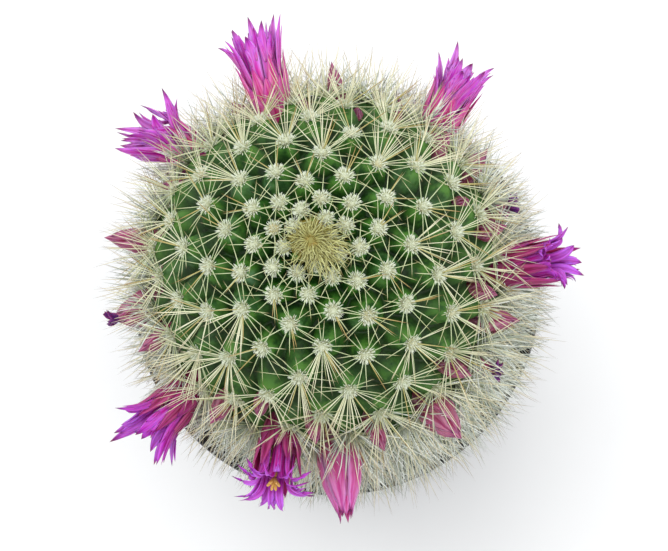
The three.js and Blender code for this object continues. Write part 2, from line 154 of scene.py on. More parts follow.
# flowers: host is the areole that a flower stands above, rise and swing turn its axis up and aside in
# degrees, and spread is the radius of its outer petals' tips. over is how far the longest petals stand
# past the flower's length, open says how late and how flat they spread, and tube and style are the
# heights of the sepals and the stigma as shares of the length. seed is for its random draws.
FLOWER_FIELDS = (
    "name", "host", "rise", "swing", "length", "spread", "droop", "curl", "ragged", "look", "flare", "over",
    "open", "tube", "style", "seed",
)
FLOWERS = [dict(zip(FLOWER_FIELDS, row)) for row in (
    ("flower_1", 101, 15, -2, 21.5, 6.6, 0, 0.4, 0.12, 0.05, 0.1, 4.6, 0, 0.8, 0.7, 21),
    ("flower_2", 132, 15, 8, 23.2, 6.4, 0, 0.4, 0.16, 0.1, 0.25, 4.2, 0, 0.82, 0.7, 2),
    ("flower_3", 130, 20, 13, 20.2, 6.8, 0, 2.0, 0.2, 0.1, 0.3, 6.6, 0, 0.85, 0.72, 13),
    ("flower_4", 129, 20, 6, 22.6, 6.4, 0, 0.6, 0.14, 0.15, 0.1, 1.2, 0.5, 1.0, 0.72, 14),
    ("flower_5", 128, 10, 3, 23.5, 7.6, 2, 0.25, 0.16, 0.1, 0.3, 3.6, 0, 0.9, 0.7, 5),
    ("flower_6", 123, 30, 13, 22.5, 8.6, 0, 0.2, 0.06, 0.04, 0, -1.0, 1, 0.88, 0.89, 6),
)]
PAINTED_LIT_FLOWERS = (1, 2, 3)    # counted from 1, on the lit upper side: their petals and sepals are painted lighter as painted light, the others' darker as painted shade
OPENING = dict(name="flower_7", host=131, rise=15, swing=3, length=23, width=9)
MOUTH = 0.55             # where the flower's tube ends, as a share of its length
THROAT_R = 3.9
CUP_R = 2.3
CUP_DEPTH = 3.2
PETALS = 9               # in each of the two whorls
PETAL_WIDTH = 3.0
TOOTH_WIDTH = 0.4        # of the petal's width
PETAL_STATIONS = (0, 0.3, 0.6, 0.8, 0.92, 1)    # along a petal, and its width there, blunt or sharp
BLUNT = (0.62, 0.86, 1, 0.82, 0.42, 0.06)
SHARP = (0.7, 0.9, 1, 0.7, 0.34, 0.04)
PETAL_THICK = 0.26
PETAL_STEPS = 17         # points along a petal, a tooth of its tip and a sepal
TOOTH_STEPS = 9
SEPAL_STEPS = 15
SEPALS = 8               # in each of the two whorls
SEPAL_WIDTH = 3.6
STAMENS = 34
STYLE_R = 0.5
STIGMA_LOBES = 6
STIGMA_COLUMNS = 8       # of its map

# buds: host, rise, swing, length and width
BUD_FIELDS = ("host", "rise", "swing", "length", "width")
BUDS = [dict(zip(BUD_FIELDS, row)) for row in (
    (125, 15, 9, 17.2, 5.1),
    (133, 15, 11, 16.5, 7.4),
    (120, 25, 15, 14.3, 4),
    (115, 30, 10, 13.5, 4.2),
    (110, 40, 14, 13.5, 3.2),
    (118, 30, 9, 14.5, 3.8),
    (126, 20, 6, 18, 7),
    (113, 30, 15, 12.5, 3.6),
    (134, 20, 8, 12.6, 4.8),
    (121, 20, 17, 14.3, 4.8),
    (137, 20, 2, 12.4, 5.4),
    (124, 20, 16, 13.4, 4),
    (111, 30, 10, 10.3, 3.2),
    (119, 25, 13, 10.7, 3.2),
    (127, 15, 15, 14.6, 3.6),
    (122, 25, 12, 11.3, 4.2),
    (114, 35, 13, 8.4, 2.8),
    (117, 25, 22, 10.3, 3.4),
    (112, 35, 25, 8.7, 3),
    (103, 45, -9, 7.1, 2.8),
    (102, 40, 21, 10.7, 3),
    (106, 45, 12, 6.5, 2.6),
    (116, 30, 1, 11.2, 3.6),
    (108, 40, -12, 12, 3.4),
)]
# foot, tip as a share of the tube, how far the tips stand off, and width as a share of SEPAL_WIDTH
SEPAL_WHORLS = ((0.04, 0.75, 0.3, 1.15), (0.08, 1, 0.9, 1))
# stations along a bud and its radius there, as shares of its length and of its greatest radius
BUD_PROFILE = ((0, 0.25, 0.55, 0.8, 1), (0.5, 0.72, 1, 0.6, 0))
BUD_PART = 3.8           # a bud's width over the radius that spines keep out of
WITHERED = (2, 9, 11)    # buds, counted from 1, whose flower has faded to a purple tuft

# camera: the view's direction, how far its middle lies right of the crown and above it in the picture,
# its width there, and its distance from there
VIEW_DIRECTION = (-0.0836, 0.1775, -1)
VIEW_OFFSET = (4.76, -7.32)
VIEW_WIDTH = 137.8
VIEW_DISTANCE = 4500

# stage, in metres: half the floor's width, and each lamp's name, place, size and power in watts
FLOOR_HALF = 3.0
LAMPS = (
    ("key", (-0.24, 0.42, 0.95), 1.3, 6.8),
    ("fill", (0.6, -0.2, 0.75), 0.9, 2.8),
)


# ---------------------------------------------------------------- vectors

def unit(vectors):
    return vectors / np.linalg.norm(vectors, axis=-1, keepdims=True)


def mix(a, b, share):
    return a + (b - a) * share


def polar(radius, angle, z):
    """Points at a radius, an angle in radians and a height."""
    return np.stack(np.broadcast_arrays(radius * np.cos(angle), radius * np.sin(angle), z), axis=-1)


def across_to(vectors, normals):
    """The part of each vector that is square to its normal, with length 1."""
    along = np.sum(vectors * normals, axis=-1, keepdims=True)
    return unit(vectors - along * normals)


# ---------------------------------------------------------------- meshes

def linked(name, data):
    """A new object in the scene."""
    made = bpy.data.objects.new(name, data)
    bpy.context.scene.collection.objects.link(made)
    return made


class Shape:
    """Points and faces gathered for one mesh, with their places on a map of so many columns.

    On a two-faced shape the upper faces of blades take the lower end of v, and the under faces
    the upper end.
    """

    def __init__(self, columns=1, two_faced=False):
        self.columns = columns
        self.two_faced = two_faced
        self.unders = []
        self.points = []
        self.faces = []
        self.kinds = []
        self.places = []
        self.size = 0

    def add(self, points, faces, places=None, kind=0, under=None):
        """Adds points (n, 3) and arrays of faces, in the material kind.

        places are (n, 2) on the map. under has 1 for the under faces, in an array for each of faces.
        """
        self.faces += [part + self.size for part in faces]
        self.unders += [np.zeros(len(part)) for part in faces] if under is None else under
        self.kinds += [kind] * sum(len(part) for part in faces)
        self.points.append(points)
        self.places.append(np.zeros((len(points), 2)) if places is None else places)
        self.size += len(points)

    def piece(self, name, slot, materials, replaced, mapped=True, values=None):
        """The finished piece, riding on the part's one body. values (n,) are kept on its points."""
        mesh = bpy.data.meshes.new(name)
        points = np.concatenate(self.points) * MM
        corners = np.concatenate([part.ravel() for part in self.faces])
        sizes = np.concatenate([np.full(len(part), part.shape[1]) for part in self.faces])
        mesh.vertices.add(len(points))
        mesh.vertices.foreach_set("co", points.astype(np.float32).ravel())
        mesh.loops.add(len(corners))
        mesh.loops.foreach_set("vertex_index", corners.astype(np.int32))
        mesh.polygons.add(len(sizes))
        mesh.polygons.foreach_set("loop_start", (np.cumsum(sizes) - sizes).astype(np.int32))
        mesh.polygons.foreach_set("use_smooth", np.ones(len(sizes), bool))
        mesh.polygons.foreach_set("material_index", np.array(self.kinds, np.int32))
        mesh.update(calc_edges=True)
        if mapped:
            layer = mesh.uv_layers.new(name="OFBake")
            places = np.concatenate(self.places)[corners]
            if self.two_faced:
                under = np.repeat(np.concatenate(self.unders), sizes)
                places[:, 1] = FACE_SHARE * places[:, 1] + (1 - FACE_SHARE) * under
            layer.data.foreach_set("uv", places.astype(np.float32).ravel())
        if values is not None:
            kept = mesh.attributes.new("value", "FLOAT", "POINT")
            kept.data.foreach_set("value", values.astype(np.float32))
        if mesh.validate():
            raise ValueError(f"{name} has faulty faces")
        for material in materials:
            mesh.materials.append(material)
        piece = linked(name, mesh)
        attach(piece, "root")
        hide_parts(*replaced)
        return piece


def stitched(rings, tips):
    """Closed tubes through rings (tubes, stations, sides, 3), each with a flat root and a tip."""
    count, stations, sides, _ = rings.shape
    size = stations * sides + 1
    points = np.concatenate([rings.reshape(count, -1, 3), tips[:, None]], axis=1).reshape(-1, 3)
    here = np.arange(sides)
    beside = np.roll(here, -1)
    last = (stations - 1) * sides
    parts = [
        np.stack([last + here, last + beside, np.full(sides, size - 1)], axis=1),
        here[::-1][None],
    ]
    for start in range(0, last, sides):
        below = [start + here, start + beside]
        above = [start + sides + beside, start + sides + here]
        parts.append(np.stack(below + above, axis=1))
    first = (np.arange(count) * size)[:, None, None]
    return points, [(first + part).reshape(-1, part.shape[1]) for part in parts]


def mapped(count, along, across, column, columns):
    """Map places for stitched tubes: v runs along a tube, u across one column of the map."""
    sides = len(across)
    u = np.append(np.tile(across, len(along) - 1), 0.5)
    v = np.append(np.repeat(along[:-1], sides), along[-1])
    v[:sides] += ROOT_WAVE * (np.arange(sides) % 2)
    u = (np.broadcast_to(column, count)[:, None] + COLUMN_INSET + (1 - 2 * COLUMN_INSET) * u) / columns
    return np.stack([u, np.broadcast_to(v, u.shape)], axis=-1).reshape(-1, 2)


def ring_places(sides):
    """Places across a column for the points round a tube, so that every face has some width."""
    if sides == 3:
        return np.array([0, 0.5, 1])
    return 1 - np.abs(2 * np.arange(sides) / sides - 1)


def tubes(shape, paths, radii, sides, column, kind=0):
    """Adds round tubes along paths (tubes, stations, 3), thin towards a tip. radii leaves out the tip."""
    tangents = unit(np.gradient(paths, axis=1))
    chord = unit(paths[:, -1] - paths[:, 0])
    helper = np.where(np.abs(chord[:, 2:]) > 0.8, [[1.0, 0, 0]], [[0, 0, 1.0]])
    first = across_to(np.cross(chord, helper)[:, None], tangents)
    second = np.cross(tangents, first)
    turn = 2 * np.pi * np.arange(sides)[:, None] / sides
    spokes = first[:, :-1, None] * np.cos(turn) + second[:, :-1, None] * np.sin(turn)
    rings = paths[:, :-1, None] + radii[:, :, None, None] * spokes
    points, faces = stitched(rings, paths[:, -1])
    along = np.linspace(0, 1, paths.shape[1])
    places = mapped(len(paths), along, ring_places(sides), column, shape.columns)
    shape.add(points, faces, places, kind=kind)


# a blade's section: where its points lie across it, and the face that each is on
BLADE_ACROSS = np.array([-1, -0.55, 0, 0.55, 1, 0.55, 0, -0.55])
BLADE_TOP = np.array([0, 1, 1, 1, 0, -1, -1, -1])


def blades(shape, centres, facing, widths, thick, column, kind, fold=0.0, wrap=None, reach=1.0):
    """Adds leaf-like shells along centres (blades, stations, 3); widths leaves out the tip.

    facing is where the upper face looks. fold lifts the edges like an open book, and wrap is
    the curvature of what the blade lies round. reach is how far along the map the tip lies.
    """
    tangents = unit(np.gradient(centres, axis=1))
    face = across_to(np.broadcast_to(facing, centres.shape), tangents)
    side = np.cross(tangents, face)
    half = widths[:, :, None] / 2
    out = BLADE_ACROSS * half
    rise = fold * np.abs(out)
    if wrap is not None:
        rise = rise + 0.5 * wrap[:, :, None] * out ** 2
    belly = 0.5 * thick * np.sqrt(1 - BLADE_ACROSS ** 2) * BLADE_TOP
    rise = rise + belly * np.minimum(1, 4 * half / PETAL_WIDTH)
    rings = centres[:, :-1, None] + side[:, :-1, None] * out[..., None]
    rings = rings + face[:, :-1, None] * rise[..., None]
    points, faces = stitched(rings, centres[:, -1])
    along = np.linspace(0, reach, centres.shape[1])
    places = mapped(len(centres), along, (BLADE_ACROSS + 1) / 2, column, shape.columns)
    sides = len(BLADE_ACROSS)
    # the second half of each ring of faces is the under side, and the flat root counts as upper
    under = [(np.arange(len(part)) % sides >= sides // 2) * (part.shape[1] < sides) for part in faces]
    shape.add(points, faces, places, kind=kind, under=under)


def turned(outline, sides, flutes=0, depth=0.0):
    """Rings and tip of a shape turned about Z from [radius, height] pairs; the last pair is its tip."""
    radius, height = np.array(outline, float).T
    angle = 2 * np.pi * np.arange(sides) / sides
    ripple = 1 + depth * np.cos(flutes * angle)
    rings = polar(radius[:-1, None] * ripple, angle, height[:-1, None])
    return rings[None], np.array([[0, 0, height[-1]]])


def add_turned(shape, outline, sides, column, end=1.0, kind=0, **ripple):
    """Adds a turned shape, on one column of the map from v = 0 to end."""
    points, faces = stitched(*turned(outline, sides, **ripple))
    along = np.linspace(0, end, len(outline))
    places = mapped(1, along, ring_places(sides), column, shape.columns)
    shape.add(points, faces, places, kind=kind)


# ---------------------------------------------------------------- materials

def colour(red, green, blue):
    """A linear colour from the 0 to 255 values that a screen shows."""
    def linear(value):
        share = value / 255
        return share / 12.92 if share <= 0.04045 else ((share + 0.055) / 1.055) ** 2.4
    return (linear(red), linear(green), linear(blue), 1)


class Finish:
    """A node material built step by step."""

    def __init__(self, name, **settings):
        self.material = bpy.data.materials.new(name)
        self.material.use_nodes = True
        self.tree = self.material.node_tree
        self.shader = self.tree.nodes["Principled BSDF"]
        for socket, value in settings.items():
            self.shader.inputs[socket.replace("_", " ")].default_value = value

    def node(self, kind, inputs=None, **settings):
        made = self.tree.nodes.new(kind)
        for key, value in settings.items():
            setattr(made, key, value)
        for key, value in (inputs or {}).items():
            if isinstance(value, bpy.types.NodeSocket):
                self.tree.links.new(value, made.inputs[key])
            else:
                made.inputs[key].default_value = value
        return made

    def place(self):
        return self.node("ShaderNodeTexCoord").outputs["Object"]

    def map_axes(self):
        """The two axes of the blade and spine map: u over the columns, v from root to tip."""
        uv = self.node("ShaderNodeUVMap", uv_map="OFBake").outputs["UV"]
        split = self.node("ShaderNodeSeparateXYZ", {0: uv})
        return split.outputs["X"], split.outputs["Y"]

    def height(self):
        return self.node("ShaderNodeSeparateXYZ", {0: self.place()}).outputs["Z"]

    def tone(self, columns):
        """A random value for each column of the map, from u times their number."""
        column = self.math("FLOOR", columns)
        return self.node("ShaderNodeTexWhiteNoise", {"W": column}, noise_dimensions="1D").outputs["Value"]

    def value(self):
        return self.node("ShaderNodeAttribute", attribute_name="value").outputs["Fac"]

    def math(self, operation, a, b=0.0):
        return self.node("ShaderNodeMath", {0: a, 1: b}, operation=operation).outputs[0]

    def times(self, a, b):
        return self.math("MULTIPLY", a, b)

    def plus(self, a, b):
        return self.math("ADD", a, b)

    def noise(self, scale, detail=2.0, vector=None):
        inputs = {"Vector": vector or self.place(), "Scale": scale, "Detail": detail}
        return self.node("ShaderNodeTexNoise", inputs).outputs["Fac"]

    def ramp(self, factor, stops):
        """A colour ramp from rows of a position and red, green and blue, from 0 to 255."""
        made = self.node("ShaderNodeValToRGB", {0: factor})
        elements = made.color_ramp.elements
        while len(elements) < len(stops):
            elements.new(0.5)
        for element, (position, *shade) in zip(elements, stops):
            element.position = position
            element.color = colour(*shade)
        return made.outputs["Color"]

    def mixed(self, factor, a, b, blend="MIX"):
        made = self.node("ShaderNodeMix", data_type="RGBA", blend_type=blend)
        for index, value in ((0, factor), (6, a), (7, b)):
            if isinstance(value, bpy.types.NodeSocket):
                self.tree.links.new(value, made.inputs[index])
            else:
                made.inputs[index].default_value = value
        return made.outputs[2]

    def range(self, value, low, high, out_low=0.0, out_high=1.0):
        made = self.node("ShaderNodeMapRange", {0: value, 1: low, 2: high, 3: out_low, 4: out_high})
        return made.outputs[0]

    def finish(self, base, roughness=None, height=None, bump=0.3, distance=0.1):
        self.tree.links.new(base, self.shader.inputs["Base Color"])
        if roughness is not None:
            self.tree.links.new(roughness, self.shader.inputs["Roughness"])
        if height is not None:
            inputs = {"Height": height, "Strength": bump, "Distance": distance * MM}
            made = self.node("ShaderNodeBump", inputs)
            self.tree.links.new(made.outputs[0], self.shader.inputs["Normal"])
        return self.material


def stem_material():
    """Green skin, pale on the tubercles and painted dark in the valleys as painted shade, with a grey bloom
    and a corky foot.
    """
    skin = Finish("stem_skin", Specular_IOR_Level=0.22, Subsurface_Weight=0.08, Subsurface_Scale=0.002)
    depth = skin.value()
    # painted shade: the skin darkens from each areole's pad down into the valleys between the tubercles
    flank = skin.ramp(depth, [
        (0.0, 92, 136, 56), (0.3, 70, 118, 38), (0.62, 48, 92, 24), (0.86, 26, 60, 10), (1.0, 10, 32, 4),
    ])
    bloom = skin.range(skin.noise(130, 3), 0.52, 0.72, 0.0, 0.8)
    veil = skin.range(depth, 0.95, 0.4)
    greyed = skin.mixed(skin.times(bloom, veil), flank, colour(76, 108, 84))
    patch = skin.range(skin.noise(420, 4), 0.42, 0.62)
    mottled = skin.mixed(patch, greyed, colour(60, 110, 34), "OVERLAY")
    height = skin.height()
    mottled = skin.mixed(skin.range(height, 0.132, 0.108, 0.0, 0.26), mottled, colour(88, 112, 72))
    foot = skin.range(height, 0.08, 0.066)
    corky = skin.times(foot, skin.range(skin.noise(300, 4), 0.35, 0.6))
    base = skin.mixed(corky, mottled, colour(150, 128, 84))
    rough = skin.range(skin.noise(900, 2), 0.3, 0.7, 0.42, 0.6)
    return skin.finish(base, rough, skin.noise(2600, 3), bump=0.25, distance=0.15)


# colours of the spines from root to tip, the one that they lean to by their tone, and how far
SPINE_COLOURS = {
    "spine_ivory": ([
        (0.0, 190, 204, 164), (0.4, 200, 210, 168), (0.75, 196, 196, 152), (0.9, 164, 138, 98),
        (1.0, 104, 74, 50),
    ], (140, 164, 96), 0.35),
    "spine_tan": ([
        (0.0, 190, 186, 124), (0.45, 186, 172, 112), (0.8, 158, 124, 78), (1.0, 92, 60, 42),
    ], (150, 132, 66), 0.35),
    "spine_grey": ([
        (0.0, 210, 216, 178), (0.55, 232, 231, 202), (0.8, 208, 196, 166), (0.94, 132, 108, 92),
        (1.0, 84, 64, 58),
    ], (194, 188, 146), 0.35),
    "spine_white": ([
        (0.0, 174, 184, 154), (0.3, 246, 253, 240), (0.8, 251, 254, 249), (1.0, 212, 208, 198),
    ], (124, 136, 110), 0.85),
    "spine_straw": ([
        (0.0, 176, 112, 44), (0.12, 178, 154, 84), (0.35, 203, 202, 134), (0.75, 218, 220, 160),
        (0.9, 126, 108, 68), (1.0, 62, 44, 28),
    ], (110, 102, 22), 0.95),
}


def spine_material(name):
    """Colour runs along a spine, and each column of the map has its own tone."""
    stops, leaning_to, spread = SPINE_COLOURS[name]
    spine = Finish(name, Roughness=0.5, Specular_IOR_Level=0.3)
    u, v = spine.map_axes()
    tone = spine.tone(spine.times(u, float(TONES)))
    shifted = spine.plus(v, spine.times(spine.math("SUBTRACT", tone, 0.5), 0.12))
    run = spine.ramp(shifted, stops)
    return spine.finish(spine.mixed(spine.times(tone, spread), run, colour(*leaning_to)))


def wool_material():
    """Off-white bristles, a few of them straw-coloured."""
    wool = Finish("areole_wool", Roughness=0.85, Specular_IOR_Level=0.2)
    u, v = wool.map_axes()
    tone = wool.tone(wool.times(u, float(TONES)))
    run = wool.ramp(v, [
        (0.0, 132, 134, 100), (0.25, 172, 176, 144), (0.5, 218, 224, 202), (1.0, 234, 240, 226),
    ])
    straw = wool.times(wool.range(tone, 0.8, 1.0), 0.6)
    return wool.finish(wool.mixed(straw, run, colour(176, 154, 98)))


# colours of a blade from root to tip, of its midrib, its edges and its tip, and where it differs, of
# its upper face from root to tip
PETAL_TIP = (86, 20, 92)
PETAL_COLOURS = {
    # painted light: petal_light and sepal_light are lighter copies of the colours below, for the flowers on
    # the lit upper side
    "petal_light": dict(
        run=[
            (0.0, 200, 84, 128), (0.35, 212, 56, 160), (0.7, 208, 60, 204), (0.92, 190, 66, 218),
            (1.0, 150, 40, 182),
        ],
        stripe=(168, 0, 136), margin=(228, 158, 242), tip=PETAL_TIP,
        inner=[(0.0, 206, 60, 158), (0.4, 206, 104, 212), (0.75, 212, 146, 236), (1.0, 176, 92, 206)],
    ),
    "sepal_light": dict(
        run=[
            (0.0, 140, 104, 56), (0.2, 184, 96, 96), (0.45, 212, 92, 142), (0.7, 212, 70, 164),
            (1.0, 186, 40, 164),
        ],
        stripe=(184, 20, 104), margin=(232, 152, 196), tip=(130, 30, 124),
    ),
    # painted shade: petal_deep and sepal_deep are darker copies of the colours above, for the other flowers
    "petal_deep": dict(
        run=[
            (0.0, 180, 36, 98), (0.35, 186, 18, 132), (0.7, 180, 22, 176), (0.92, 166, 40, 202),
            (1.0, 124, 24, 154),
        ],
        stripe=(140, 0, 112), margin=(208, 112, 232), tip=PETAL_TIP,
        inner=[(0.0, 190, 28, 140), (0.4, 186, 48, 192), (0.75, 192, 104, 232), (1.0, 152, 54, 196)],
    ),
    "sepal_deep": dict(
        run=[
            (0.0, 96, 68, 34), (0.2, 128, 48, 48), (0.45, 156, 44, 80), (0.7, 166, 34, 112),
            (1.0, 154, 28, 140),
        ],
        stripe=(110, 4, 56), margin=(196, 100, 148), tip=(104, 20, 104),
    ),
    "stamen": dict(
        run=[(0.0, 206, 160, 176), (0.75, 212, 176, 160), (0.85, 216, 190, 110), (1.0, 210, 176, 86)],
        stripe=(206, 166, 130), margin=(220, 196, 150), tip=(200, 156, 76),
    ),
    "bud_scale": dict(
        run=[
            (0.0, 96, 74, 38), (0.25, 122, 70, 58), (0.55, 160, 84, 100), (0.8, 162, 66, 120),
            (1.0, 84, 20, 84),
        ],
        stripe=(118, 20, 56), margin=(224, 160, 184), tip=(66, 14, 74),
    ),
    "faded_petal": dict(
        run=[(0.0, 120, 40, 110), (1.0, 84, 30, 116)],
        stripe=(52, 14, 78), margin=(130, 80, 150), tip=(40, 18, 52),
    ),
    "fresh_petal": dict(
        run=[
            (0.0, 122, 74, 62), (0.3, 176, 74, 112), (0.6, 198, 78, 152), (0.9, 190, 84, 172),
            (1.0, 150, 48, 134),
        ],
        stripe=(164, 10, 92), margin=(228, 160, 212), tip=PETAL_TIP,
    ),
}


def petal_material(name, columns):
    """Streaked and veined blades, on a map of so many columns."""
    look = PETAL_COLOURS[name]
    stripe, margin, tip = (colour(*look[part]) for part in ("stripe", "margin", "tip"))
    petal = Finish(name, Roughness=0.5, Specular_IOR_Level=0.2, Subsurface_Weight=0.2,
                   Subsurface_Scale=0.0012)
    u, v = petal.map_axes()
    under = petal.math("GREATER_THAN", v, 0.5)
    face_v = petal.math("SUBTRACT", v, petal.times(under, 1 - FACE_SHARE))
    along = petal.math("DIVIDE", face_v, FACE_SHARE)
    spread_u = petal.times(u, float(columns))
    inside = petal.math("FRACT", spread_u)
    tone = petal.tone(spread_u)
    off_rib = petal.times(petal.math("ABSOLUTE", petal.math("SUBTRACT", inside, 0.5)), 2.0)
    run = petal.ramp(along, look["run"])
    if "inner" in look:
        run = petal.mixed(under, petal.ramp(along, look["inner"]), run)

    def lengthways(fineness, stretch):
        """Coordinates for a pattern drawn out along the blade."""
        across = petal.times(spread_u, fineness)
        stretched = petal.times(along, stretch)
        return petal.node("ShaderNodeCombineXYZ", {"X": across, "Y": stretched}).outputs[0]

    veins = petal.noise(1.0, 2, lengthways(9.0, 1.0))
    edge = petal.times(petal.range(off_rib, 0.45, 1.0), petal.range(tone, 0.0, 1.0, 0.4, 0.95))
    pale = petal.mixed(edge, run, margin)
    rib = petal.range(petal.plus(off_rib, petal.times(veins, 0.3)), 0.6, 0.16)
    ribbed = petal.mixed(petal.times(rib, petal.range(tone, 0.0, 1.0, 1.0, 0.5)), pale, stripe)
    veined = petal.mixed(petal.range(veins, 0.42, 0.66, 0.0, 0.75), ribbed, stripe)
    streak = petal.range(petal.noise(1.6, 2, lengthways(3.0, 1.5)), 0.42, 0.66, 0.0, 0.5)
    streaked = petal.mixed(streak, veined, margin)
    outlined = petal.mixed(petal.range(off_rib, 0.86, 1.0, 0.0, 0.55), streaked, tip)
    end = petal.range(petal.plus(along, petal.times(tone, 0.06)), 0.93, 1.03)
    base = petal.mixed(end, outlined, tip)
    return petal.finish(base, height=veins, bump=0.5, distance=0.12)


def plain_noise_material(name, dark, light, scale, roughness=0.6, bump=0.3, distance=0.1, **settings):
    """A surface that varies between two colours at one scale of grain."""
    grain = Finish(name, Roughness=roughness, **settings)
    fac = grain.noise(scale, 3)
    base = grain.mixed(grain.range(fac, 0.35, 0.65), dark, light)
    return grain.finish(base, height=fac, bump=bump, distance=distance)


def pot_material():
    plastic = Finish("pot_plastic", Specular_IOR_Level=0.22)
    height = plastic.height()
    dust = plastic.range(plastic.noise(60, 4), 0.5, 0.75, 0.0, 0.22)
    low = plastic.plus(dust, plastic.range(height, 0.012, 0.0, 0.0, 0.3))
    speckle = plastic.range(plastic.noise(1800, 2), 0.55, 0.75, 0.0, 0.25)
    base = plastic.mixed(plastic.plus(low, speckle), colour(20, 20, 21), colour(66, 64, 58))
    rough = plastic.range(plastic.noise(140, 4), 0.3, 0.7, 0.34, 0.58)
    return plastic.finish(base, rough, plastic.noise(2400, 2), bump=0.2, distance=0.1)


def soil_material():
    soil = Finish("soil", Roughness=0.95)
    grain = soil.noise(900, 5)
    base = soil.ramp(grain, [
        (0.3, 28, 20, 15), (0.5, 58, 44, 33), (0.62, 84, 66, 50), (0.75, 120, 100, 78),
    ])
    return soil.finish(base, height=grain, bump=0.9, distance=0.6)


# ---------------------------------------------------------------- the stem's surface

# distance of a young areole from the crown, in stem radii: what the powers of its number count for,
# fitted to the places of areoles in the photo
ARC_FIT = (0.0551, 0.00987, 1.315e-4, -9.4e-7)


def arc_to(k):
    """Distance from the crown to areole k, along the stem's surface."""
    k = np.asarray(k, float)

    def young(m):
        return STEM_R * (ARC_FIT[0] + ARC_FIT[1] * m + ARC_FIT[2] * m ** 2 + ARC_FIT[3] * m ** 3)

    even_step = young(SHOULDER) - young(SHOULDER - 1)
    return np.where(k < SHOULDER, young(k), young(SHOULDER) + even_step * (k - SHOULDER))


def surface_at(arc, azimuth):
    """Points, outward normals, sideways and downhill directions of the stem's surface."""
    arc = np.asarray(arc, float)
    angle = np.radians(azimuth)
    quarter = STEM_R * math.pi / 2
    upper = arc < quarter
    polar_angle = np.minimum(arc, quarter) / STEM_R
    below = np.maximum(arc - quarter, 0)
    low_r = STEM_R * np.sqrt(1 - (below / LOWER_SEMI_AXIS) ** 2)
    radius = np.where(upper, STEM_R * np.sin(polar_angle), low_r)
    z = np.where(upper, EQUATOR_Z + STEM_R * np.cos(polar_angle), EQUATOR_Z - below)
    flat = np.where(upper, np.sin(polar_angle), low_r / STEM_R ** 2)
    steep = np.where(upper, np.cos(polar_angle), -below / LOWER_SEMI_AXIS ** 2)
    normal = unit(polar(flat, angle, steep))
    side = polar(1.0, angle + math.pi / 2, 0.0)
    return polar(radius, angle, z), normal, side, unit(np.cross(side, normal))


def azimuth_of(k):
    """Degrees round the stem of areole k."""
    return FIRST_AZIMUTH + DIVERGENCE * np.asarray(k, float)


NUMBERS = np.arange(AREOLES)
POINT, NORMAL, SIDE, DOWN = surface_at(arc_to(NUMBERS), azimuth_of(NUMBERS))
MATURITY = np.minimum(1, NUMBERS / SHOULDER)
RELIEF = mix(CROWN_RELIEF, FLANK_RELIEF, np.sqrt(MATURITY))
PAD_R = AREOLE_R * mix(0.5, 1, np.minimum(1, 2 * MATURITY))


def leaning(k, turn, tilt):
    """At areoles k, the direction round the axis at a turn from SIDE to DOWN, and the axis tilted to it."""
    around = SIDE[k] * np.cos(turn)[:, None] + DOWN[k] * np.sin(turn)[:, None]
    return around, NORMAL[k] * np.cos(tilt)[:, None] + around * np.sin(tilt)[:, None]


def grown(lengths, numbers):
    """A length at each areole from its values at the crown, on the shoulder and on the flank."""
    return np.interp(numbers, LENGTHS_AT, lengths)


def side_growth(numbers):
    """How much longer than usual the spines of areoles are, from the side of the plant that they are on."""
    return np.interp(azimuth_of(numbers) % 360, GROWTH_SIDES, GROWTH)


def convex_net(points):
    """Triangles of the convex hull of points, each listed counter-clockwise from outside."""
    hull = bmesh.new()
    for index, point in enumerate(points):
        hull.verts.new(point).index = index
    bmesh.ops.convex_hull(hull, input=hull.verts)
    middle = points.mean(axis=0)
    triangles = []
    for face in hull.faces:
        a, b, c = [vert.index for vert in face.verts]
        outward = np.cross(points[b] - points[a], points[c] - points[a])
        if np.dot(outward, points[a] - middle) < 0:
            b, c = c, b
        triangles.append((a, b, c))
    hull.free()
    return triangles


